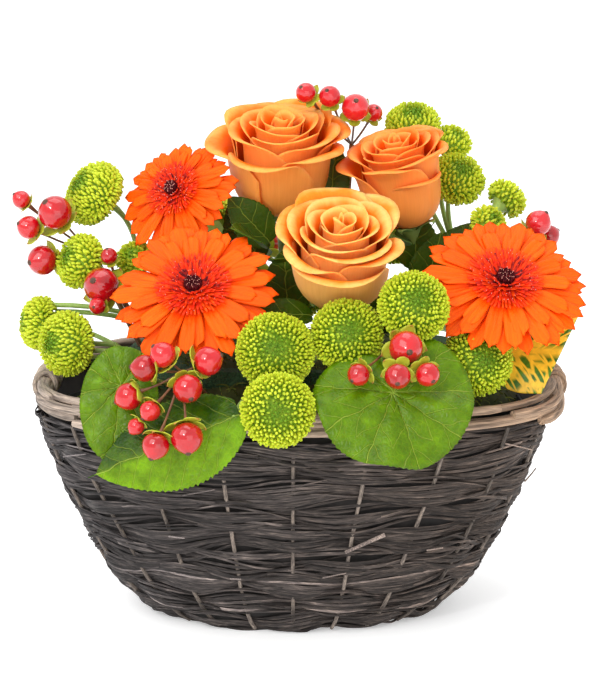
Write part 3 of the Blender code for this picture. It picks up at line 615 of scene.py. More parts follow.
def make_base(bowl, settings):
    """The woven base: rings of strands over radial sticks, and a thin near-black sheet inside the bowl that
    closes it, its colour painted shade.
    """
    bm = new_bmesh()
    draw = random.Random(3)
    for ring in range(BASE_RINGS):
        share = (ring + 0.7) / BASE_RINGS * 0.97
        points = []
        samples = settings.stakes * 3
        for i in range(samples + 1):
            turn = math.tau * i / samples
            swing = math.cos(turn * settings.stakes / 2 + math.pi * ring) * min(share * 2, 1)
            edge = bowl.plan(bowl.half_width * BOWL_PROFILE[0][1] * share, turn, 0)
            points.append(Vector((edge.x + bowl.middle, edge.y, 2.4 * MM + swing * 0.9 * MM)))
        add_tube(bm, points, [1.5 * MM] * len(points), 5, draw.random(), 0, 0.6, UP, closed=True)
    for k in range(settings.stakes // 2):
        turn = math.tau * k / settings.stakes
        ends = [bowl.point(turn + side * math.pi, 3 * MM, -3 * MM) for side in (0, 1)]
        add_tube(bm, [ends[0].lerp(ends[1], t / 6) for t in range(7)], [1.2 * MM] * 7, 6, draw.random())
    paint = willow_paint("base_willow", settings.willow, (2, 34), (1.5, 2.5))
    piece(bm, "basket_base", [paint], (), "dark_willow")

    bm = new_bmesh()
    heights = ((0, 4.6), (0.2, 12), (0.4, 26), (0.6, 48), (0.8, 80), (1, 118))

    def shape(u, v):
        return bowl.point(math.pi * u, interpolate(heights, v) * MM, -2 * WEAVE_SWING - 1.3 * MM)

    made = add_grid(bm, 72, 5, shape)
    bmesh.ops.remove_doubles(bm, verts=made, dist=1e-6)
    edges = [edge for edge in bm.edges if edge.is_boundary and edge.verts[0].co.z < 6 * MM]
    bmesh.ops.holes_fill(bm, edges=edges)
    bmesh.ops.recalc_face_normals(bm, faces=bm.faces)
    # painted shade: a near-black sheet just inside the weave, for the shade in the bowl that shows through
    # its gaps
    inner = Paint("inner_shadow", 0.9)
    patch = inner.noise(inner.place(), 90.0)
    shadow = inner.finish(inner.ramp(patch, (0.3, (0.006, 0.005, 0.005)), (0.7, (0.02, 0.016, 0.014))))
    piece(bm, "basket_inner_face", [shadow], (), "dark_willow", thickness=0.4 * MM)


# Courses of rods along the rim: how far up and outward each lies (mm), and its rods' radius (mm)
RIM_COURSES = ((3.0, 1.6, 3.1), (5.0, -1.6, 2.9), (8.6, 1.0, 3.0), (10.4, -1.6, 2.6))
RIM_RODS = 7


def make_rim(bowl, settings):
    """A thick border: courses of rods along the rim, each end cut, with loops round it at both sides."""
    bm = new_bmesh()
    draw = random.Random(21)
    for course, (up, outward, radius) in enumerate(RIM_COURSES):
        for k in range(RIM_RODS):
            start = math.tau * (k + 0.37 * course + draw.uniform(-0.1, 0.1)) / RIM_RODS
            sweep = math.tau / RIM_RODS * draw.uniform(1.12, 1.3)
            steps = 22
            points = []
            radii = []
            for i in range(steps + 1):
                t = i / steps
                lift = 1.7 * math.sin(math.pi * (t - 0.5)) + 0.35 * math.sin(start * 5 + t * 8)
                drift = 0.9 * math.sin(math.pi * (0.5 - t)) + 0.3 * math.sin(start * 9 + t * 11)
                points.append(bowl.rim(start + sweep * t, (up + lift) * MM, (outward + drift) * MM))
                radii.append(radius * MM * (0.94 + 0.08 * math.sin(start * 3 + t * 7)))
            radii[0] *= 0.8
            radii[-1] *= 0.8
            add_tube(bm, points, radii, 10, draw.random(), 0, 0.88, side=UP)
    for side, loops in RIM_LOOPS:
        for offset, tilt, share, radius in loops:
            add_loop(bm, bowl, math.radians(side + offset), tilt, share, radius * MM, draw)
    paint = willow_paint("rim_willow", settings.rim, (5, 3), (1.35, 1.45), RIM_SIDE_LIGHT)
    piece(bm, "rim_rods", [paint], ["basket_rim"], "rim_willow")


# painted side light on the rim: paler and cooler at its left end, darker and warmer at its right
RIM_SIDE_LIGHT = ((1.08, 1.12, 1.15), (0.88, 0.76, 0.62))  # tint of the rim at its left and right ends

# Loops over the rim's ends: turn off the end in degrees, tilt along the rim in mm, size and radius (mm)
RIM_LOOPS = (
    (90, ((-7, 5, 0.96, 1.8), (-1, -4, 1.1, 2.5), (5, 3, 1.04, 2.2), (11, -4, 0.95, 1.7))),
    (-90, ((8, -5, 1.0, 1.7), (1, 4, 1.1, 2.5), (-5, -3, 1.06, 2.2), (-12, 4, 0.95, 1.7), (4, 2, 0.8, 1.2))),
)


def add_loop(bm, bowl, turn, tilt, share, radius, draw):
    """A rod bent right round the rim."""
    points = []
    steps = 24
    middle = bowl.rim_rise / 2
    for i in range(steps + 1):
        angle = math.tau * i / steps
        along = tilt * MM * math.sin(angle) / bowl.rim_half_width
        up = middle + (middle - radius) * math.sin(angle) * share
        points.append(bowl.rim(turn + along, up, (RIM_REACH - radius) * math.cos(angle) * share))
    add_tube(bm, points, [radius] * len(points), 8, draw.random(), closed=True)


class FLOWERBASKET_OT_basket(bpy.types.Operator):
    """Weave the bowl and its base, and roll the rim"""

    bl_idname = "flowerbasket.basket"
    bl_label = "Basket"

    def execute(self, context):
        settings = context.scene.flower_basket.basket
        bowl = Bowl()
        make_weave(bowl, settings)
        make_stakes(bowl, settings)
        make_base(bowl, settings)
        make_rim(bowl, settings)
        return {"FINISHED"}


# ---------------------------------------------------------------- roses
# Roses: facing, turn of the first petal in degrees, tint of the colours, and the outer petals.
# An outer petal is its turn (0 to the right, 270 to the front), height and reach as shares of the
# bloom's, half its span in degrees, and how far its lip curls back in degrees.
ROSES = {
    "rose_left": ((-2, 71), 250, (1, 0.80, 0.6), (
        (128, 0.90, 0.90, 66, 30), (62, 0.92, 0.90, 64, 25), (188, 0.80, 1.06, 60, 70),
        (12, 0.84, 0.95, 62, 50), (318, 0.80, 0.94, 56, 85), (246, 0.76, 0.98, 64, 50),
    )),
    "rose_front": ((2, 62), 205, (1, 1.06, 1.0), (
        (100, 0.93, 0.88, 68, 35), (35, 0.90, 0.90, 62, 45), (165, 0.88, 0.90, 60, 50),
        (222, 0.80, 0.92, 58, 60), (318, 0.82, 0.90, 60, 45), (258, 0.70, 0.99, 84, 22),
    )),
    "rose_right": ((-38, 72), 120, (1.0, 0.68, 0.5), (
        (75, 0.90, 0.86, 66, 30), (140, 0.86, 0.93, 62, 45), (10, 0.86, 0.86, 60, 40),
        (210, 0.80, 1.0, 66, 55), (290, 0.84, 0.88, 60, 60), (335, 0.62, 0.84, 62, 35),
    )),
}
# Slope of a petal, in degrees from straight out, along the length of an innermost and an outermost one
INNER_SLOPE = ((0, 40), (0.12, 70), (0.3, 90), (0.6, 98), (0.8, 99), (0.9, 94), (1, 70))
OUTER_SLOPE = ((0, -6), (0.08, 12), (0.20, 38), (0.34, 64), (0.52, 82), (0.72, 84), (0.84, 66), (0.93, 30),
               (1, -22))
PROFILE_STEPS = 30
LIP_START = 0.78  # where along a petal its lip begins to curl
INNER_CURL = 55  # degrees, of the last petal inside the outer ones
PETAL_THICKNESS = 0.45 * MM


def petal_profile(layer, curl):
    """Out and up along a petal, both scaled so that the furthest out and the highest are 1."""
    out, up = [0.0], [0.0]
    for i in range(PROFILE_STEPS):
        v = (i + 0.5) / PROFILE_STEPS
        inner = interpolate(INNER_SLOPE, v)
        outer = interpolate(OUTER_SLOPE, v)
        slope = inner + (outer - inner) * layer
        if v > LIP_START:
            slope -= curl * (v - LIP_START) / (1 - LIP_START)
        out.append(out[-1] + math.cos(math.radians(slope)))
        up.append(up[-1] + math.sin(math.radians(slope)))
    return out, up


def add_rose_petal(bm, matrix, layer, turn, tall, reach, half_span, curl, draw):
    """One petal: a cupped shell round the axis, highest in its middle, its sides and lip rolled back."""
    plain_out, plain_up = petal_profile(layer, 0)
    foot = 0.08 * reach
    wide = (reach - foot) / max(plain_out)
    high = tall / max(plain_up)
    tuck = draw.uniform(0.04, 0.08)
    phase = draw.uniform(0, math.tau)
    drop = 0.10 + 0.24 * layer
    curls = {}

    def shape(u, v):
        roll = round(curl * (0.25 + 0.75 * abs(u) ** 1.6), 3)
        if roll not in curls:
            curls[roll] = petal_profile(layer, roll)
        out, up = curls[roll]
        place = v * (1 - drop * abs(u) ** 2.4) * PROFILE_STEPS
        low = min(int(place), PROFILE_STEPS - 1)
        share = place - low
        away = foot + wide * (out[low] + (out[low + 1] - out[low]) * share)
        height = high * (up[low] + (up[low + 1] - up[low]) * share)
        away *= 1 + tuck * u
        away += reach * 0.03 * layer * v**3 * math.sin(u * 4.5 + phase)
        height += tall * 0.014 * v**4 * math.sin(u * 6 + phase * 2)
        angle = turn + u * half_span * (0.40 + 0.60 * math.sin(min(v * 1.6, 1) * math.pi / 2))
        return matrix @ around(angle, away, height)

    add_grid(bm, 18, 22, shape, layer)


def rose_seat(name, facing):
    """The matrix to the foot of a bloom, its length and its lip radius, read from its solid."""
    points = cad_points(name + "_bloom")
    axis = direction(*facing)
    along = points @ np.array(axis)
    foot = Vector(points[along < along.min() + 0.05 * MM].mean(axis=0))
    matrix = facing_matrix(foot, axis)
    local = (points - np.array(foot)) @ np.array(matrix.to_3x3())
    return matrix, local[:, 2].max(), np.hypot(local[:, 0], local[:, 1]).max()


def make_rose(name, settings):
    facing, first, tint, outer = ROSES[name]
    matrix, length, radius = rose_seat(name, facing)
    draw = random.Random(name)
    bm = new_bmesh()
    petals = settings.rose_petals
    for k in range(petals):
        layer = 0.86 * k / (petals - 1)
        turn = math.radians(first) + (k - petals) * GOLDEN_TURN
        tall = length * (1.0 - 0.15 * layer**1.5) * draw.uniform(0.98, 1.01)
        reach = radius * (0.07 + 0.90 * layer**0.92)
        span = math.radians(122 - 50 * layer)
        add_rose_petal(bm, matrix, layer, turn, tall, reach, span, INNER_CURL * layer, draw)
    for turn, height, share, half_span, curl in outer:
        add_rose_petal(bm, matrix, 1.0, math.radians(turn), length * height, radius * share,
                       math.radians(half_span), curl, draw)

    def tinted(colour):
        return tuple(min(channel * share, 1) for channel, share in zip(colour, tint))

    lip, outer_face = tinted(settings.rose_lip), tinted(settings.rose_outside)
    inside = petal_paint(name + "_inside", tinted(settings.rose_inside), settings.rose_deep, lip)
    outside = petal_paint(name + "_outside", outer_face, outer_face, lip)
    piece(bm, name + "_petals", [outside, inside], [name + "_bloom"], "rose_petal", PETAL_THICKNESS, 60, 1)


class FLOWERBASKET_OT_roses(bpy.types.Operator):
    """Build the three roses, petal by petal round their axes"""

    bl_idname = "flowerbasket.roses"
    bl_label = "Roses"

    def execute(self, context):
        for name in ROSES:
            make_rose(name, context.scene.flower_basket.flowers)
        return {"FINISHED"}


# ---------------------------------------------------------------- gerberas
GERBERAS = ("gerbera_top_left", "gerbera_left", "gerbera_right")
# The side on which a gerbera's rays are shorter, and by what share
SHORT_RAYS = {"gerbera_top_left": (-0.06, 0, 0.24)}
RAY_THICKNESS = 0.35 * MM


def ray_template(length, width, cup, droop):
    """A long ray with two grooves, lying along +X, its foot at the origin. cup is how far its middle
    lies below its sides, and droop how far it rises and then falls."""

    def shape(u, v):
        side = width * (0.34 + 0.66 * math.sin(min(v * 1.25, 1) * math.pi / 2))
        side *= math.sqrt(1 - max(v - 0.86, 0) ** 2 / 0.0206)  # the blunt tip
        ridge = 0.5 * MM * math.cos(u * 3 * math.pi) * (1 - v) ** 0.3
        rise = droop[0] * math.sin(v * math.pi / 2) - droop[1] * v**2.2
        return Vector((length * v * (1 - 0.035 * u * u), u * side / 2, ridge + rise - cup * (1 - u * u)))

    return template(lambda made: add_grid(made, 8, 12, shape))


def add_ring(bm, mesh, matrix, number, radius, lift, tilt, draw, spread=1.0, tones=(0.3, 1.0), first=None,
             short=(0, 0)):
    """Stamp a template round an axis, each with its own small turn, size and tilt. Those toward the
    direction short are shorter, by the length of that direction."""
    first = draw.uniform(0, math.tau) if first is None else first
    for k in range(number):
        angle = first + 2 * math.pi * k / number + draw.uniform(-0.5, 0.5) * spread / number
        pitch = math.radians(tilt + draw.uniform(-4, 4) * spread)
        roll = math.radians(draw.uniform(-14, 14) * spread)
        scale = draw.uniform(0.92, 1.04) - max(math.cos(angle) * short[0] + math.sin(angle) * short[1], 0)
        local = Matrix.Rotation(angle, 4, "Z") @ Matrix.Translation((radius, 0, lift))
        local @= Matrix.Rotation(-pitch, 4, "Y") @ Matrix.Rotation(roll, 4, "X") @ Matrix.Scale(scale, 4)
        stamp(bm, mesh, matrix @ local, draw.uniform(*tones))


def floret_template(length, width, curve):
    """A short strap floret along +X that bends up."""

    def shape(u, v):
        half = width / 2 * (1 - 0.55 * v**2)
        return Vector((length * v * (1 - 0.25 * v * curve), u * half, length * curve * v * v))

    return template(lambda made: add_grid(made, 2, 4, shape))


def make_gerbera(name, settings):
    matrix, radius = flat_frame(name + "_rays")
    draw = random.Random(name)
    number = settings.gerbera_rays
    foot = radius * 0.15
    away = matrix.to_3x3().inverted() @ Vector(SHORT_RAYS.get(name, (0, 0, 0)))
    short = (away.x, away.y)
    bm = new_bmesh()
    for layer, (share, lift, tilt) in enumerate(((1.0, -0.8, -3), (0.97, 0.2, 0), (0.80, 1.2, 2))):
        mesh = ray_template(radius * share - foot, radius * 0.2, 0.6 * MM, (2.0 * MM, 3.2 * MM))
        add_ring(bm, mesh, matrix, number - 4 * (layer // 2), foot, lift * MM, tilt, draw, 1.0, (0.3, 1.0),
                 layer * math.pi / number, short)
    rays = ray_paint(name + "_orange", settings.gerbera, settings.gerbera_foot)
    piece(bm, name + "_ray_layers", [rays], [name + "_rays"], "gerbera_ray", RAY_THICKNESS)

    straps, buds = new_bmesh(), new_bmesh()
    add_disc(straps, buds, matrix, radius, draw)
    stops = ((0.0, settings.gerbera_disc), (0.27, shade(settings.gerbera_disc, 2)),
             (0.42, settings.gerbera_foot), (0.72, shade(settings.gerbera, 0.85)), (0.95, (0.95, 0.45, 0.36)))
    disc = toned_paint(name + "_florets", stops, 0.6, sockets={"Specular IOR Level": 0.15})
    piece(straps, name + "_disc_straps", [disc], (), "gerbera_disc", 0.2 * MM)
    piece(buds, name + "_disc_buds", [disc], [name + "_centre"], "gerbera_disc")


EYE_BUDS = 70
EYE_SPECKS = 72
EYE_RING = (0.15, 0.26)  # the specks' ring: where it begins and its width, as shares of the radius
# Rings of the eye: foot and length as shares of the radius, florets, upward bend, lift (mm), tone
EYE_RINGS = (
    (0.24, 0.22, 60, 0.05, 3.0, 0.54), (0.20, 0.20, 58, 0.15, 3.7, 0.49), (0.17, 0.17, 54, 0.28, 4.3, 0.46),
    (0.14, 0.15, 46, 0.42, 4.7, 0.43), (0.11, 0.11, 38, 0.7, 4.9, 0.38),
)


def add_disc(straps, buds, matrix, radius, draw):
    """The eye of a gerbera: rings of fine florets round a small dark middle, with pale specks."""
    for share, length, number, curve, lift, tone in EYE_RINGS:
        mesh = floret_template(radius * length, radius * 0.042, curve)
        tones = (tone - 0.14, tone + 0.14)
        add_ring(straps, mesh, matrix, number, radius * share, lift * MM, 8, draw, 1.6, tones)
    bud = template(lambda made: add_tube(made, [Vector((0, 0, z * MM)) for z in (0, 1.0, 2.0, 2.6)],
                                         [0.5 * MM, 0.6 * MM, 0.5 * MM, 0.2 * MM], 5))
    speck = template(lambda made: add_tube(made, [Vector((0, 0, z * MM)) for z in (0, 0.4, 0.7)],
                                           [0.16 * MM, 0.22 * MM, 0.09 * MM], 4))
    for k in range(EYE_BUDS):
        share = math.sqrt((k + 0.5) / EYE_BUDS)
        lift = (4.8 - 1.3 * (1 - share) ** 2) * MM
        local = Matrix.Translation(around(k * GOLDEN_TURN, radius * 0.10 * share, lift))
        stamp(buds, bud, matrix @ local, draw.uniform(0, 0.25))
        if k % 3 == 0:
            stamp(buds, speck, matrix @ local @ Matrix.Translation((0, 0, 2.4 * MM)), 1.0)
    for k in range(EYE_SPECKS):
        place = draw.random()
        lift = (7.0 - 2.4 * place + draw.uniform(-0.3, 0.3)) * MM
        reach = radius * (EYE_RING[0] + EYE_RING[1] * place)
        stamp(buds, speck, matrix @ Matrix.Translation(around(k * GOLDEN_TURN, reach, lift)), 1.0)
    base = [matrix @ Vector((0, 0, z * MM)) for z in (-1.5, 2.5, 4.5)]
    add_tube(buds, base, [radius * 0.10, radius * 0.17, radius * 0.13], 16, 0.2)


class FLOWERBASKET_OT_gerberas(bpy.types.Operator):
    """Build the three gerberas: layers of rays and the florets of the eye"""

    bl_idname = "flowerbasket.gerberas"
    bl_label = "Gerberas"

    def execute(self, context):
        for name in GERBERAS:
            make_gerbera(name, context.scene.flower_basket.flowers)
        return {"FINISHED"}


# ---------------------------------------------------------------- chrysanthemums
def quill_template(length, width):
    """A quilled floret standing along +Z: a narrow tube that opens into a small spoon."""

    def shape(u, v):
        angle = math.pi * u
        girth = width / 2 * interpolate(((0, 0.45), (0.5, 0.7), (0.85, 1.0), (1, 0.62)), v)
        lean = 0.28 * length * v * v
        return Vector((math.cos(angle) * girth + lean, math.sin(angle) * girth * 0.8, length * v))

    def build(bm):
        made = add_grid(bm, 5, 3, shape, lambda u, v: v)
        bmesh.ops.remove_doubles(bm, verts=made, dist=MERGE)
        bmesh.ops.holes_fill(bm, edges=[edge for edge in bm.edges if edge.is_boundary])

    return template(build)


DOME_EDGE = math.radians(128)  # how far round from its top a head carries florets
# By how far a floret is from the top: its size, at shares of 1.1 radians, and its tone, at radians
FLORET_SIZES = ((0, 0.45), (0.25, 0.62), (0.6, 0.95), (1, 1))
FLORET_TONES = ((0, 0.05), (0.3, 0.35), (0.8, 0.8), (1.6, 0.9), (2.3, 0.35))
# A pointed rim floret: out, up and half-width along it (mm)
RIM_FLORET = ((0, 0, 0.7), (1.6, 0.3, 0.95), (3.2, 0.4, 0.85), (4.6, 0.1, 0.35))


def make_mum(name, settings):
    """A button head: quilled florets packed on a low dome, greener and shorter at its middle."""
    matrix, radius = flat_frame(name)
    gap = settings.floret_gap
    draw = random.Random(name)
    bm = new_bmesh()
    quill = quill_template(3.4 * MM, gap * 1.28)
    inner = radius - 2.6 * MM
    area = 2 * math.pi * inner**2 * (1 - math.cos(DOME_EDGE)) * 0.8
    number = int(area / (gap * gap * 0.92))
    for k in range(number):
        share = (k + 0.5) / number
        polar = math.acos(1 - share * (1 - math.cos(DOME_EDGE)))
        depth = 0.72 if polar < math.pi / 2 else 0.55
        outward = around(k * GOLDEN_TURN, math.sin(polar), math.cos(polar))
        place = Vector((outward.x * inner, outward.y * inner, outward.z * inner * depth))
        normal = Vector((outward.x, outward.y, outward.z / depth)).normalized()
        grown = interpolate(FLORET_SIZES, min(polar / 1.1, 1))
        toward_middle = Vector((-outward.x, -outward.y, 0.001)).normalized()
        side = normal.cross(toward_middle).normalized()
        turn = Matrix((side.cross(normal), side, normal)).transposed().to_4x4()
        tilt = Matrix.Rotation(math.radians(draw.uniform(-16, 16)), 4, "Y")
        tilt @= Matrix.Rotation(math.radians(draw.uniform(-16, 16)), 4, "X")
        scale = Matrix.Diagonal((grown**0.5, grown**0.5, grown * draw.uniform(0.85, 1.12), 1))
        tone = interpolate(FLORET_TONES, polar) + draw.uniform(-0.12, 0.12)
        stamp(bm, quill, matrix @ Matrix.Translation(place) @ turn @ tilt @ scale, tone)
    core = [matrix @ Vector((0, 0, z * radius)) for z in (-0.5, -0.3, 0, 0.3, 0.52)]
    add_tube(bm, core, [radius * share for share in (0.38, 0.74, 0.84, 0.70, 0.32)], 16, 0.36)
    points = [Vector((out, 0, up)) * MM for out, up, _ in RIM_FLORET]
    radii = [wide * MM for _, _, wide in RIM_FLORET]
    ray = template(lambda made: add_tube(made, points, radii, 4, flat=0.3, side=UP))
    foot = inner - 1.0 * MM
    for lift, tilt in ((-0.6, -8), (0.8, 6)):
        add_ring(bm, ray, matrix, settings.rim_florets, foot, lift * MM, tilt, draw, 1.5, (0.55, 0.95))
    stops = ((0.0, shade(settings.mum_middle, 0.55)), (0.3, settings.mum_middle), (0.65, settings.mum),
             (1.0, shade(settings.mum, 1.15)))
    paint = toned_paint(name + "_lime", stops, 0.55, 700.0, soft(0.1, 0.003, 0.2))
    piece(bm, name + "_florets", [paint], [name], "mum_floret", smooth=70)


class FLOWERBASKET_OT_mums(bpy.types.Operator):
    """Pack every button chrysanthemum head with quilled florets"""

    bl_idname = "flowerbasket.mums"
    bl_label = "Chrysanthemums"

    def execute(self, context):
        for name in sorted(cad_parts):
            if name.startswith("mum_") and "stems" not in name:
                make_mum(name, context.scene.flower_basket.flowers)
        return {"FINISHED"}


# ---------------------------------------------------------------- stems
STEM_STEPS = 12
STEM_DEPTH = 24 * MM  # how far a stem reaches into the foam


def foam_place(point):
    """Where the stem of a bloom at this point ends in the foam."""
    return Vector((point.x * 0.66, point.y * 0.48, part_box("floral_foam")[1].z - STEM_DEPTH))


def add_cupped_stem(bm, top, way, cup, end, radius, tone):
    """A stem that widens at its top into the cup under a bloom. cup is its radius and its height."""
    neck = top - way * cup[1]
    points = [top, top - way * cup[1] * 0.35, *bend(neck, -way, end, STEM_STEPS)]
    radii = [cup[0], cup[0] * 0.8]
    for i in range(STEM_STEPS + 1):
        radii.append(radius * interpolate(((0, 1.5), (0.25, 1), (1, 1)), i / STEM_STEPS))
    add_tube(bm, points, radii, 8, tone)


# Chrysanthemum sprays: where the stem forks (mm) and which heads it carries
MUM_SPRAYS = {
    "mum_stems_left": ((-84, 8, 160), ("mum_left_top", "mum_left_middle", "mum_left_inner")),
    "mum_stems_far_left": ((-96, -24, 146), ("mum_left_low", "mum_left_front")),
    "mum_stems_front": ((4, -58, 144), ("mum_front_left", "mum_front_low", "mum_front_middle")),
    "mum_stems_right": ((68, -38, 146), ("mum_front_right", "mum_right_low")),
    "mum_stems_top_right": ((84, 26, 184), ("mum_right_high", "mum_right_back", "mum_right_middle",
                                            "mum_right_outer", "mum_right_inner")),
    "mum_stems_back": ((0, 52, 160), ("mum_back_left", "mum_back_middle", "mum_back_right", "mum_back_low")),
}


def make_mum_stems(paint):
    draw = random.Random(31)
    for name, (fork, heads) in MUM_SPRAYS.items():
        bm = new_bmesh()
        fork = millimetres(fork)
        foot = foam_place(fork)
        add_tube(bm, bend(fork, (foot - fork).normalized(), foot, 6), [1.8 * MM] * 7, 8, 0.5)
        for head in heads:
            matrix, radius = flat_frame(head)
            way = matrix.to_3x3() @ UP
            top = matrix.translation - way * radius * 0.46
            add_cupped_stem(bm, top, way, (radius * 0.5, 4 * MM), fork, 1.3 * MM, draw.random())
        piece(bm, name + "_green", [paint], [name], "mum_stem")


# Bare stems that run level into the foliage: start (mm), direction, end in the foam (mm)
SIDE_STEMS = (
    ((-130, -9, 164), (1, 0, 0), (-60, -12, 128)), ((-128, -6, 160), (1, 0.1, -0.02), (-58, -6, 126)),
    ((-110, -34, 145), (1, 0, 0), (-62, -20, 124)), ((-109, -32, 141), (1, 0.1, 0), (-60, -16, 122)),
)


def make_side_stems(paint):
    bm = new_bmesh()
    for start, way, end in SIDE_STEMS:
        points = bend(millimetres(start), Vector(way).normalized(), millimetres(end), STEM_STEPS, 0.85)
        add_tube(bm, points, [1.3 * MM] * len(points), 8, 0.7)
    piece(bm, "side_stems", [paint], (), "mum_stem")


def make_bloom_stems(paint):
    for name, (facing, *_) in ROSES.items():
        matrix, length, radius = rose_seat(name, facing)
        cup = (radius * 0.24, 8 * MM)
        make_single_stem(name + "_stem", matrix, 0.3 * MM, cup, paint, "rose_stem", length)
    for name in GERBERAS:
        matrix, radius = flat_frame(name + "_rays")
        cup = (radius * 0.2, 7 * MM)
        make_single_stem(name + "_stem", matrix, 3.2 * MM, cup, paint, "gerbera_stem", 0)


def make_single_stem(node, matrix, drop, cup, paint, slot, sepal_length):
    """A calyx and its stem, with sepals round a rose."""
    bm = new_bmesh()
    way = matrix.to_3x3() @ UP
    top = matrix.translation - way * drop
    add_cupped_stem(bm, top, way, cup, foam_place(matrix.translation), 2.3 * MM, 0.4)
    piece(bm, node + "_green", [paint], [node], slot)
    if not sepal_length:
        return
    bm = new_bmesh()
    for k in range(5):
        angle = 2 * math.pi * k / 5

        def shape(u, v, angle=angle):
            reach = cup[0] * 0.8 + sepal_length * (0.20 * math.sin(v * 2.2))
            height = sepal_length * (0.36 * v - 0.32 * v * v)
            half = 3.4 * MM * (1 - v) ** 0.8 / max(reach, MM)
            return matrix @ around(angle + u * half, reach, height - 2 * MM)

        add_grid(bm, 4, 8, shape, 0.6)
    piece(bm, node + "_sepals", [paint], (), slot, 0.4 * MM)


def stem_paint(name, colour):
    """Green stem with fine lines along it."""
    paint = Paint(name, 0.5, soft(0.05, 0.002))
    lines = paint.noise(paint.place((14, 0.8, 1), "UV"), 2.5, 4.0)
    tone = paint.total((paint.noise(paint.place(), 90.0, 3.0), 0.7), (paint.tone(), 0.3))
    base = paint.ramp(tone, (0.2, shade(colour, 0.5)), (0.5, colour), (0.8, shade(colour, 1.5)))
    return paint.finish(base, lines, 0.3, 0.0003)


class FLOWERBASKET_OT_stems(bpy.types.Operator):
    """Grow the stems of the roses, gerberas and chrysanthemums from the foam"""

    bl_idname = "flowerbasket.stems"
    bl_label = "Stems"

    def execute(self, context):
        colour = context.scene.flower_basket.leaves.stem
        green = stem_paint("mum_stem_green", colour)
        make_mum_stems(green)
        make_side_stems(green)
        make_bloom_stems(stem_paint("bloom_stem_green", shade(colour, 0.6)))
        return {"FINISHED"}


# ---------------------------------------------------------------- berries
# Berry sprays: fork (mm), then each berry's middle and radius (mm)
BERRY_SPRAYS = {
    "berries_left": (
        (-110, 16, 188),
        (((-145, 0, 218), 4.8), ((-127, -5, 212), 9), ((-141, -4, 204), 6.2), ((-134, -6, 187), 8)),
    ),
    "berries_left_low": (
        (-93, -10, 168),
        (((-101.5, -30, 178), 9.4), ((-98, -22, 192), 4.4), ((-103, -38, 169), 4.4)),
    ),
    "berries_top": (
        (28, 55, 240),
        (((3, 16, 272), 5.4), ((15.5, 16, 270), 5.8), ((29, 18, 264), 7.4), ((39, 30, 260), 4.8)),
    ),
    "berries_front_left": (
        (-57, -98, 148),
        (
            ((-66, -101, 157), 6.5), ((-75, -99, 150), 6.8), ((-83, -99, 136), 6.9),
            ((-44.5, -101, 154), 7.3), ((-54, -108, 142), 7.3), ((-72, -110, 131.5), 5.2),
            ((-79, -109, 123.5), 4.2), ((-69, -119, 116.5), 6.8), ((-54, -119, 120.5), 8),
        ),
    ),
    "berries_front_right": (
        (48, -84, 162),
        (((51, -103, 161), 8.4), ((28, -111, 149.5), 5.6), ((46.5, -117, 150), 6.4), ((61, -113, 150), 6)),
    ),
    "berries_right": ((110, 4, 186), (((124, -2, 206), 6.8), ((131, 12, 197), 6))),
    "berries_back": (
        (-26, 78, 168),
        (((-32, 92, 184), 6.6), ((-17, 96, 180), 7), ((-38, 90, 168), 6.4), ((-24, 100, 164), 6)),
    ),
}
# A berry along its axis, in shares of its radius: (place along, radius)
BERRY_PROFILE = ((-0.86, 0.22), (-0.8, 0.5), (-0.6, 0.78), (-0.3, 0.95), (0.0, 1.0), (0.3, 0.95), (0.6, 0.78),
                 (0.85, 0.52), (1.0, 0.28), (1.06, 0.17))


def add_berry(bm, middle, way, radius, tone):
    points = [middle + way * (along * radius) for along, _ in BERRY_PROFILE]
    add_tube(bm, points, [wide * radius for _, wide in BERRY_PROFILE], 16, tone)
    tip = [middle + way * (along * radius) for along in (1.04, 1.1, 1.16)]
    add_tube(bm, tip, [0.20 * radius, 0.17 * radius, 0.07 * radius], 8, 0.0, 1)


def add_sepals(bm, middle, way, radius, draw):
    matrix = facing_matrix(middle, way)
    first = draw.uniform(0, 6.28)
    for k in range(5):
        angle = first + 2 * math.pi * k / 5 + draw.uniform(-0.15, 0.15)
        spread = draw.uniform(0.9, 1.25)

        def shape(u, v, angle=angle, spread=spread):
            reach = radius * (0.16 + 1.05 * spread * math.sin(v * 1.5))
            height = radius * (-0.92 + 0.42 * v**2 / spread)
            half = u * 0.48 * math.sin(math.pi * min(v * 0.86 + 0.2, 1)) / (0.35 + v)
            return matrix @ around(angle + half, reach, height)

        add_grid(bm, 4, 6, shape, lambda u, v: 0.3 + 0.7 * v)


def berry_paints(settings):
    """The finishes of a spray: glossy fruit, its dark tip, its sepals and its stalks."""
    body = Paint("berry_red", 0.16, soft(0.1, 0.004, 0.3, subsurface_radius=(0.8, 0.1, 0.05),
                                         coat_weight=0.8, coat_roughness=0.04))
    patch = body.noise(body.place(), 130.0, 3.0)
    share = body.total((patch, 0.5), (body.tone(), 0.5))
    light = (min(settings.berry[0] * 1.25, 1), settings.berry[1] * 6, settings.berry[2] * 3)
    base = body.ramp(share, (0.2, shade(settings.berry, 0.5)), (0.5, settings.berry), (0.85, light))
    tip = Paint("berry_tip", 0.6)
    spot = tip.noise(tip.place(), 900.0)
    sepal = Paint("berry_sepal", 0.5)
    edge = sepal.ramp(sepal.tone(), (0.3, settings.sepal), (0.8, shade(settings.sepal, 0.9)),
                      (1.0, (0.45, 0.10, 0.03)))
    vein = sepal.noise(sepal.place((12, 1, 1), "UV"), 2.5, 3.0)
    stalk = Paint("berry_stalk", 0.5)
    grain = stalk.noise(stalk.place(), 200.0, 3.0)
    return (
        body.finish(base, patch, 0.08, 0.0003),
        tip.finish(tip.ramp(spot, (0.3, (0.03, 0.008, 0.006)), (0.7, (0.12, 0.05, 0.02))), spot, 0.4),
        sepal.finish(edge, vein, 0.4, 0.0003),
        stalk.finish(stalk.ramp(grain, (0.3, (0.10, 0.022, 0.014)), (0.7, (0.24, 0.10, 0.03))), grain, 0.3),
    )


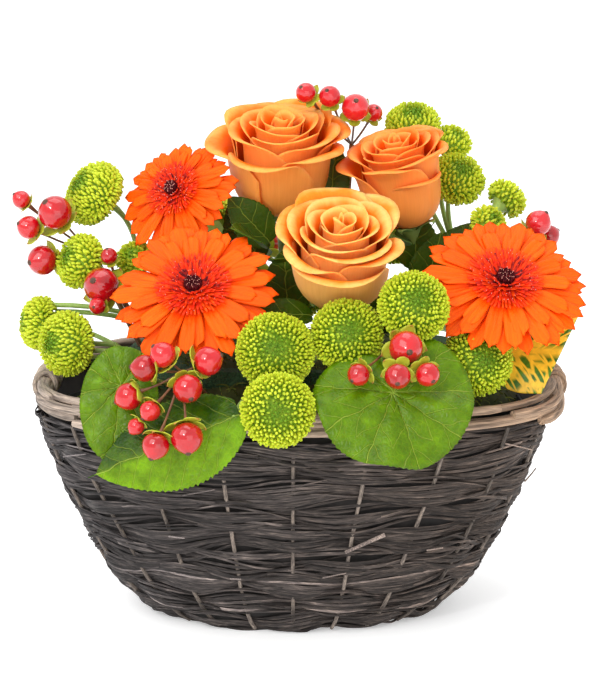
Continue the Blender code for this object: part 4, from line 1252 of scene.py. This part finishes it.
def make_berry_spray(name, paints, draw):
    fork, berries = BERRY_SPRAYS[name]
    fork = millimetres(fork)
    foot = foam_place(fork)
    fruit, sepals, stalks = new_bmesh(), new_bmesh(), new_bmesh()
    add_tube(stalks, bend(fork, (foot - fork).normalized(), foot, 6), [1.5 * MM] * 7, 7, 0.5)
    for place, radius in berries:
        middle = millimetres(place)
        way = (middle - fork).normalized()
        radius *= MM
        add_berry(fruit, middle, way, radius, draw.random())
        add_sepals(sepals, middle, way, radius, draw)
        sag = Vector((0, 0, -0.06)) * (middle - fork).length
        neck = middle - way * radius * 0.8
        halfway = (fork + neck) / 2 + sag
        points = []
        for t in (i / 8 for i in range(9)):
            points.append(fork.lerp(halfway, t).lerp(halfway.lerp(neck, t), t))
        add_tube(stalks, points, [0.6 * MM] * 7 + [0.9 * MM, 1.5 * MM], 7, draw.random())
    piece(fruit, name + "_fruit", paints[:2], [name], "berry")
    piece(sepals, name + "_sepals", [paints[2]], (), "berry", 0.3 * MM)
    piece(stalks, name + "_stalks", [paints[3]], (), "berry")


class FLOWERBASKET_OT_berries(bpy.types.Operator):
    """Hang the berry sprays: fruit, sepals and stalks"""

    bl_idname = "flowerbasket.berries"
    bl_label = "Berries"

    def execute(self, context):
        paints = berry_paints(context.scene.flower_basket.flowers)
        draw = random.Random(17)
        for name in BERRY_SPRAYS:
            make_berry_spray(name, paints, draw)
        return {"FINISHED"}


# ---------------------------------------------------------------- leaves
# Broad leaves: vein hub (mm), direction of the tip, facing, length, width, wave, droop (mm), fold, and
# where the stalk enters the foam (x, y in mm)
BROAD_LEAVES = {
    "galax_leaf_front_right": ((45, -106, 139), (26, -46), (8, 28), 57, 73, 2, 4, -0.1, (22, -54)),
    "galax_leaf_left": ((-88, -87, 138), (-16, -68), (-2, 20), 53, 38, 1.2, 1, 0.05, (-62, -40)),
    "galax_leaf_back_left": ((-54, 85, 143), (205, -28), (200, 50), 60, 74, 2, 5, -0.05, (-40, 48)),
    "galax_leaf_back_right": ((52, 85, 144), (155, -26), (160, 50), 60, 72, 2, 5, -0.05, (40, 48)),
    "folded_leaf_front": ((-29, -107.6, 128.8), (-86, -21), (-12, 26), 80, 45, 1, 2, 0.3, (-22, -52)),
    "croton_leaf": ((87, -46, 148.5), (84, -1), (10, 20), 42, 44, 1, 0, -0.08, (76, -34)),
}
LOBES = {"galax_leaf_front_right": 0.3}  # how much further a round leaf's lobes reach back, as a share
VEIN_STEP = math.radians(38)  # between two main veins of a round leaf
QUILT = 1.1 * MM  # how far a round leaf puffs up between them
STALK_DEPTH = 12 * MM  # how far a leaf's stalk reaches into the foam
CENTIMETRE = 10 * MM
# Rose leaflets: root (mm), direction, facing, length and width (mm)
ROSE_LEAFLETS = (
    ((-20, -16, 196), (-30, 35), (-10, 55), 30, 18),
    ((-12, -20, 188), (-4, 24), (0, 60), 28, 20),
    ((6, -50, 166), (-75, 10), (-15, 55), 32, 20),
    ((52, -6, 196), (-10, 30), (10, 50), 26, 16),
    ((-24, 30, 180), (190, 10), (190, 50), 34, 22),
    ((54, 28, 184), (185, 15), (170, 50), 24, 18),
    ((66, 8, 166), (60, 75), (0, 15), 36, 24),
    ((74, 14, 176), (80, 60), (-10, 20), 34, 22),
    ((40, -2, 150), (70, 60), (0, 20), 36, 24),
    ((34, -8, 146), (20, 80), (10, 12), 32, 20),
    ((16, 14, 212), (90, 85), (0, 10), 36, 18),
    ((-16, -4, 196), (-70, 50), (0, 25), 34, 22),
    ((-22, 4, 186), (-80, 65), (-10, 20), 36, 24),
    ((30, 6, 196), (90, 80), (0, 12), 30, 18),
    ((-6, -10, 158), (-20, 78), (-5, 14), 38, 26),
    ((62, 12, 180), (-40, 82), (0, 12), 34, 24),
    ((-66, -6, 152), (-80, 50), (-20, 20), 34, 22),
)


def tooth(share):
    """A small saw tooth, 0 to 1, leaning forward."""
    part = share % 1
    return part / 0.75 if part < 0.75 else (1 - part) / 0.25


def blade_curve(length, wave, droop, fold, quilt=0.0):
    """The height of a blade over its own plane: rippled toward its edge, folded, drooping, and puffed
    up between its main veins."""

    def curve(x, y):
        reach = math.hypot(x, y)
        share = reach / (length * 0.6)
        ripple = wave * math.sin(5 * math.atan2(x, y + 0.001 * MM)) * min(share, 1.2) ** 2
        puff = abs(math.sin(math.atan2(x, y) * math.pi / VEIN_STEP)) * min(reach / CENTIMETRE, 1)
        return ripple - droop * share**2 - fold * abs(x) + quilt * puff

    return curve


def add_leaf(bm, across, along, matrix, plane, curve, tone=0.5, flat_uvs=True):
    """A blade over plane(u, v). Its UVs are the plane's centimetres or, if not flat_uvs, u and v."""
    made = add_grid(bm, across, along, lambda u, v: Vector((*plane(u, v), 0)), tone)
    uv = bm.loops.layers.uv.active
    for vert in made:
        x, y = vert.co.x, vert.co.y
        for loop in vert.link_loops if flat_uvs else ():
            loop[uv].uv = (x / CENTIMETRE, y / CENTIMETRE)
        vert.co = matrix @ Vector((x, y, curve(x, y)))


def round_plane(length, width, teeth, lobes):
    """A heart-shaped outline round the vein hub: the angle runs with u and the radius with v.
    lobes is how much further its two lobes reach back, as a share."""
    lift = 0.13 * length
    tall = 0.53 * length
    half = width / 2

    def plane(u, v):
        angle = u * math.pi
        way = (math.sin(angle), math.cos(angle))
        a = (way[0] / half) ** 2 + (way[1] / tall) ** 2
        b = -2 * way[1] * lift / tall**2
        c = (lift / tall) ** 2 - 1
        reach = (-b + math.sqrt(b * b - 4 * a * c)) / (2 * a)
        reach *= 1 - 0.06 * math.exp(-(((abs(u) - 1) / 0.10) ** 2)) + 0.05 * math.exp(-((u / 0.12) ** 2))
        reach *= 1 + lobes * math.exp(-(((abs(u) - 0.72) / 0.2) ** 2))
        reach *= 1 + (0.014 + 0.008 * math.sin(u * 23)) * tooth(u * teeth) * v
        return way[0] * reach * v, way[1] * reach * v

    return plane


def long_plane(length, width, teeth):
    """A pointed outline whose midrib runs along v."""

    def plane(u, v):
        half = math.sin(math.pi * min(v + 0.06, 1) ** 0.85) ** 0.75
        edge = 1 + 0.06 * (tooth(v * teeth) - 0.5) * abs(u) ** 4
        return u * half * edge * width / 2, v * length

    return plane


def croton_plane(length, width):
    """A blade that widens to a straight end with one long corner, as a cut or folded leaf does."""

    def plane(u, v):
        across = u * (0.35 + 0.65 * math.sin(min(v / 0.7, 1) * math.pi / 2))
        along = v + 0.22 * (0.35 - u) * v**3
        return across * width / 2, along * length

    return plane


def vein_lines(paint, across, along, pitch, slant):
    """Masks of the main vein, where across is 0, and of the side veins that leave it."""
    main = paint.ramp(across, (0.012, WHITE), (0.045, BLACK))
    steps = paint.math("DIVIDE", paint.math("SUBTRACT", along, paint.math("MULTIPLY", across, slant)), pitch)
    beat = paint.math("ABSOLUTE", paint.math("SUBTRACT", paint.math("FRACT", steps), 0.5))
    side = paint.ramp(beat, (0.016, (0.5, 0.5, 0.5)), (0.05, BLACK))
    return paint.mix(1.0, main, side, "LIGHTEN")


def veined_paint(name, colour, dark, vein, palmate, roughness=0.3):
    """Leathery leaf: main veins, side veins, a fine net and uneven green. palmate is the angle
    between main veins that leave its hub, or 0 where it has one midrib."""
    paint = Paint(name, roughness, soft(0.06, 0.003, 0.16))
    flat = paint.place(kind="UV")
    wobble = paint.node("ShaderNodeTexNoise", "Color", {"Vector": flat, "Scale": 0.9, "Detail": 2.0})
    moved = paint.node("ShaderNodeVectorMath", 0, {0: wobble, 1: (0.5, 0.5, 0.5)}, operation="SUBTRACT")
    moved = paint.node("ShaderNodeVectorMath", 0, {0: moved, "Scale": 0.5}, operation="SCALE")
    moved = paint.node("ShaderNodeVectorMath", 0, {0: flat, 1: moved}, operation="ADD")
    x, y = paint.split(moved, "X"), paint.split(moved, "Y")
    if palmate:
        reach = paint.node("ShaderNodeVectorMath", "Value", {0: moved}, operation="LENGTH")
        angle = paint.math("DIVIDE", paint.math("ARCTAN2", x, y), palmate)
        part = paint.math("FRACT", paint.math("ADD", angle, 0.5))
        turned = paint.math("MULTIPLY", paint.math("ABSOLUTE", paint.math("SUBTRACT", part, 0.5)), palmate)
        lines = vein_lines(paint, paint.math("MULTIPLY", turned, reach), reach, 1.15, 1.3)
    else:
        lines = vein_lines(paint, paint.math("ABSOLUTE", x), y, 0.95, 0.8)
    net = paint.cells(flat, 4.5)
    patch = paint.noise(flat, 1.3, 5.0)
    tone = paint.uneven(paint.tone(), patch, 1.2)
    base = paint.ramp(tone, (0.0, dark), (0.7, colour), (1.0, shade(colour, 1.6)))
    fine = paint.ramp(net, (0.0, (1.14, 1.1, 1.05)), (0.14, (0.98, 0.98, 0.98)))
    base = paint.mix(paint.math("MULTIPLY", lines, 0.6), paint.tinted(base, fine), vein)
    height = paint.math("SUBTRACT", paint.math("MULTIPLY", net, 0.5), paint.math("MULTIPLY", lines, 1.2))
    return paint.finish(base, height, 0.7, 0.0012)


def add_leaf_stalk(bm, matrix, length, foot):
    """The stalk of a leaf, from behind its hub into the foam."""
    start = matrix @ Vector((0, 0.04 * length, -0.4 * MM))
    end = Vector((*(Vector(foot) * MM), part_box("floral_foam")[1].z - STALK_DEPTH))
    inward = Vector((end.x - start.x, end.y - start.y, 0)).normalized()
    under = matrix.to_3x3() @ Vector((0, 0, -1))
    points = bend(start, (inward + under * 0.4 + Vector((0, 0, 0.6))).normalized(), end, 10)
    add_tube(bm, points, [1.2 * MM] * 11, 8, 0.5)


def folded_leaf_painted_shade(u, v):
    """The folded leaf's painted shade: bright on one side of its midrib, dark on the other, where the blooms
    above shade it.
    """
    return 0.85 - 0.7 * min(max(u * 4 + 0.5, 0), 1)


def make_broad_leaves(settings, palmate, pinnate, croton, under, stalks):
    for name, (hub, tip, facing, *sizes, fold, foot) in BROAD_LEAVES.items():
        length, width, wave, droop = (value * MM for value in sizes)
        matrix = leaf_matrix(hub, tip, facing)
        bm = new_bmesh()
        curve = blade_curve(length, wave, droop, fold)
        if name.startswith("galax"):
            curve = blade_curve(length, wave, droop, fold, QUILT)
            plane = round_plane(length, width, 40, LOBES.get(name, 0))
            add_leaf(bm, 272, 14, matrix, plane, curve, 0.6)
            bmesh.ops.remove_doubles(bm, verts=bm.verts, dist=MERGE)
            upper, slot = palmate, "green_leaf"
        elif name == "croton_leaf":
            add_leaf(bm, 60, 40, matrix, croton_plane(length, width), curve, flat_uvs=False)
            upper, slot = croton, "croton_leaf"
        else:
            # the folded leaf's tone is painted shade: dark on the half that the blooms above shade
            add_leaf(bm, 40, 110, matrix, long_plane(length, width, 30), curve, folded_leaf_painted_shade)
            upper, slot = pinnate, "green_leaf"
        piece(bm, name + "_blade", [upper, under], [name], slot, settings.thickness, 50, 1)
        add_leaf_stalk(stalks, matrix, length, foot)


def make_leaflets(paints):
    bm = new_bmesh()
    for root, tip, facing, length, width in ROSE_LEAFLETS:
        plane = long_plane(length * MM, width * MM, 13)
        curve = blade_curve(length * MM, 0.5 * MM, 2 * MM, -0.25)
        add_leaf(bm, 12, 39, leaf_matrix(root, tip, facing), plane, curve)
    piece(bm, "rose_leaflets", paints, (), "rose_stem", 0.4 * MM, 50, 1)


class FLOWERBASKET_OT_leaves(bpy.types.Operator):
    """Shape the broad leaves, the croton leaf, the rose leaflets and their stalks"""

    bl_idname = "flowerbasket.leaves"
    bl_label = "Leaves"

    def execute(self, context):
        settings = context.scene.flower_basket.leaves
        green, dark, vein = settings.leaf, settings.leaf_dark, settings.vein
        under = leaf_paint("leaf_underside", shade(green, 0.9), shade(dark, 2.5))
        palmate = veined_paint("galax_green", green, dark, vein, VEIN_STEP)
        pinnate = veined_paint("leaf_green", green, dark, vein, 0)
        small = veined_paint("rose_leaf_green", shade(green, 0.45), dark, vein, 0, 0.45)
        croton = croton_paint("croton", settings.croton_green, settings.croton_yellow)
        stalks = new_bmesh()
        make_broad_leaves(settings, palmate, pinnate, croton, under, stalks)
        make_leaflets([small, under])
        piece(stalks, "leaf_stalks", [stem_paint("leaf_stalk_green", settings.stem)], (), "green_leaf")
        return {"FINISHED"}


# ---------------------------------------------------------------- moss and foam
BED_SHARE = 0.985  # of the moss solid's reach, which the bed covers
MOSS_STRANDS = 2300


def make_moss(settings):
    """A lumpy bed of moss round and over the foam, with small curved strands standing on it."""
    low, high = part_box("moss")
    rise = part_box("floral_foam")[1].z + 1.2 * MM - low.z - 13 * MM
    draw = random.Random(41)
    bm = new_bmesh()

    def bed(u, v):
        turn = math.pi * u
        share = 1 - v
        top = low.z + 13 * MM + rise * min(v * 2.6, 1) ** 0.6
        lump = 2.2 * MM * math.sin(turn * 17 + v * 9) * math.sin(v * 21 + turn * 5) * share
        share *= BED_SHARE
        return Vector((high.x * share * math.sin(turn), high.y * share * -math.cos(turn), top + lump))

    made = add_grid(bm, 120, 14, bed, 0.3)
    bmesh.ops.remove_doubles(bm, verts=made, dist=1e-6)
    # the bed's moss is painted at half the strands' brightness: painted shade under the strands
    piece(bm, "moss_bed", [moss_paint(settings.moss, 0.5)], ["moss"], "moss", 1.0 * MM)

    points = [Vector((0.25 * t * t, 0, t)) * MM for t in (0, 1.4, 2.8, 4.0)]
    radii = [radius * MM for radius in (0.42, 0.4, 0.3, 0.1)]
    strand = template(lambda made: add_tube(made, points, radii, 3))
    bm = new_bmesh()
    for k in range(MOSS_STRANDS):
        share = math.sqrt((k + 0.5) / MOSS_STRANDS)
        turn = k * GOLDEN_TURN / math.pi
        local = Matrix.Translation(bed((turn + 1) % 2 - 1, 1 - share))
        local @= Matrix.Rotation(draw.uniform(0, 6.28), 4, "Z")
        local @= Matrix.Rotation(draw.uniform(0.1, 1.25), 4, "Y")
        local @= Matrix.Scale(draw.uniform(0.7, 1.5), 4)
        stamp(bm, strand, local, draw.random())
    piece(bm, "moss_strands", [moss_paint(settings.moss, 1.0)], (), "moss")


def moss_paint(colour, light):
    paint = Paint("moss_green", 0.95)
    patch = paint.noise(paint.place(), 120.0, 5.0)
    # light scales the colour: a half for the bed, as painted shade under the strands, and a whole for the
    # strands
    stops = [(place, shade(colour, share * light)) for place, share in ((0.2, 0.2), (0.5, 0.7), (0.85, 1.6))]
    base = paint.ramp(paint.total((patch, 0.6), (paint.tone(), 0.4)), *stops)
    return paint.finish(base, patch, 0.8, 0.001)


def paint_packed_nodes():
    """The solids that stay showing: the tray and the foam."""
    plastic = Paint("black_plastic", 0.35)
    scuff = plastic.noise(plastic.place(), 160.0, 4.0)
    grey = plastic.ramp(scuff, (0.3, (0.008, 0.008, 0.008)), (0.75, (0.03, 0.03, 0.03)))
    tray = plastic.finish(grey, scuff, 0.15)
    sponge = Paint("wet_foam", 0.95)
    pores = sponge.cells(sponge.place(), 900.0, "F1")
    base = sponge.ramp(pores, (0.2, (0.012, 0.035, 0.012)), (0.7, (0.03, 0.08, 0.03)))
    foam = sponge.finish(base, pores, 0.8, 0.0006)
    for node, finished in (("lining_tray", tray), ("floral_foam", foam)):
        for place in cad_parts[node].material_slots:
            place.material = finished


class FLOWERBASKET_OT_filling(bpy.types.Operator):
    """Lay the moss over the foam, and finish the foam and the tray"""

    bl_idname = "flowerbasket.filling"
    bl_label = "Moss and foam"

    def execute(self, context):
        make_moss(context.scene.flower_basket.leaves)
        paint_packed_nodes()
        return {"FINISHED"}


# ---------------------------------------------------------------- stage
AIM = (0, 0, 0.15)  # where every lamp points, in metres
# Lamps: name, place (m), size (m) and power (W)
LAMPS = (
    ("key", (-0.9, -1.2, 1.5), (1.4, 1.4), 18),
    ("fill", (0.5, -1.5, 0.35), (1.2, 0.8), 4),
    ("spark", (-0.55, -1.3, 0.9), (0.16, 0.16), 4),
    ("top", (0.1, 0.2, 1.6), (1.0, 1.0), 6),
)


def add_area(name, place, size_m, power):
    """A white rectangular lamp that points at the middle of the arrangement."""
    light = bpy.data.lights.new(name, "AREA")
    light.shape = "RECTANGLE"
    light.size, light.size_y = size_m
    light.energy = power
    made = bpy.data.objects.new(name, light)
    made.location = place
    made.rotation_euler = (Vector(AIM) - Vector(place)).to_track_quat("-Z", "Y").to_euler()
    bpy.context.scene.collection.objects.link(made)


class FLOWERBASKET_OT_stage(bpy.types.Operator):
    """Lay the floor, light the stage and aim the camera"""

    bl_idname = "flowerbasket.stage"
    bl_label = "Stage"

    def execute(self, context):
        settings = context.scene.flower_basket.stage
        bm = new_bmesh()
        bmesh.ops.create_circle(bm, cap_ends=True, segments=96, radius=6)
        floor_mesh = bpy.data.meshes.new("floor")
        bm.to_mesh(floor_mesh)
        bm.free()
        paper = Paint("pale_floor", 0.8, {"Emission Color": (1, 1, 1, 1), "Emission Strength": 0.35})
        grain = paper.noise(paper.place(), 40.0, 4.0)
        low, high = shade(settings.floor, 0.985), shade(settings.floor, 1.01)
        floor_mesh.materials.append(paper.finish(paper.ramp(grain, (0.3, low), (0.7, high)), grain, 0.02))
        floor = bpy.data.objects.new("floor", floor_mesh)
        context.scene.collection.objects.link(floor)

        world = bpy.data.worlds.new("soft_studio")
        world.use_nodes = True
        sky = world.node_tree.nodes["Background"]
        sky.inputs["Color"].default_value = (1, 1, 1, 1)
        sky.inputs["Strength"].default_value = 1.05
        context.scene.world = world
        for lamp in LAMPS:
            add_area(*lamp)

        lens = bpy.data.cameras.new("camera")
        lens.lens = settings.lens
        camera = bpy.data.objects.new("camera", lens)
        target = Vector((0, 0, settings.target_height))
        camera.location = target + direction(0, math.degrees(settings.elevation)) * settings.distance
        camera.rotation_euler = (target - camera.location).to_track_quat("-Z", "Y").to_euler()
        context.scene.collection.objects.link(camera)
        context.scene.camera = camera
        context.scene.view_settings.view_transform = "Standard"
        return {"FINISHED"}


# ---------------------------------------------------------------- add-on
OPERATORS = (
    FLOWERBASKET_OT_basket,
    FLOWERBASKET_OT_filling,
    FLOWERBASKET_OT_roses,
    FLOWERBASKET_OT_gerberas,
    FLOWERBASKET_OT_mums,
    FLOWERBASKET_OT_stems,
    FLOWERBASKET_OT_berries,
    FLOWERBASKET_OT_leaves,
    FLOWERBASKET_OT_stage,
)


class FLOWERBASKET_PT_panel(bpy.types.Panel):
    """Sizes and colours of the flower basket, and a button for each group of pieces"""

    bl_idname = "FLOWERBASKET_PT_panel"
    bl_label = "Flower basket"
    bl_space_type = "VIEW_3D"
    bl_region_type = "UI"
    bl_category = "Flower basket"

    def draw(self, context):
        for group in ("basket", "flowers", "leaves", "stage"):
            box = self.layout.box()
            box.label(text=group.title())
            values = getattr(context.scene.flower_basket, group)
            for key in values.__annotations__:
                box.prop(values, key)
        for operator in OPERATORS:
            self.layout.operator(operator.bl_idname)


GROUPS = (
    FLOWERBASKET_PG_basket,
    FLOWERBASKET_PG_flowers,
    FLOWERBASKET_PG_leaves,
    FLOWERBASKET_PG_stage,
    FLOWERBASKET_PG_settings,
)
CLASSES = (*GROUPS, *OPERATORS, FLOWERBASKET_PT_panel)


def register():
    for cls in CLASSES:
        bpy.utils.register_class(cls)
    bpy.types.Scene.flower_basket = PointerProperty(type=FLOWERBASKET_PG_settings)


def unregister():
    del bpy.types.Scene.flower_basket
    for cls in reversed(CLASSES):
        bpy.utils.unregister_class(cls)


def main():
    register()
    bpy.ops.flowerbasket.basket()
    bpy.ops.flowerbasket.filling()
    bpy.ops.flowerbasket.roses()
    bpy.ops.flowerbasket.gerberas()
    bpy.ops.flowerbasket.mums()
    bpy.ops.flowerbasket.stems()
    bpy.ops.flowerbasket.berries()
    bpy.ops.flowerbasket.leaves()
    bpy.ops.flowerbasket.stage()
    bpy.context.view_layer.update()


if __name__ == "__main__":
    main()
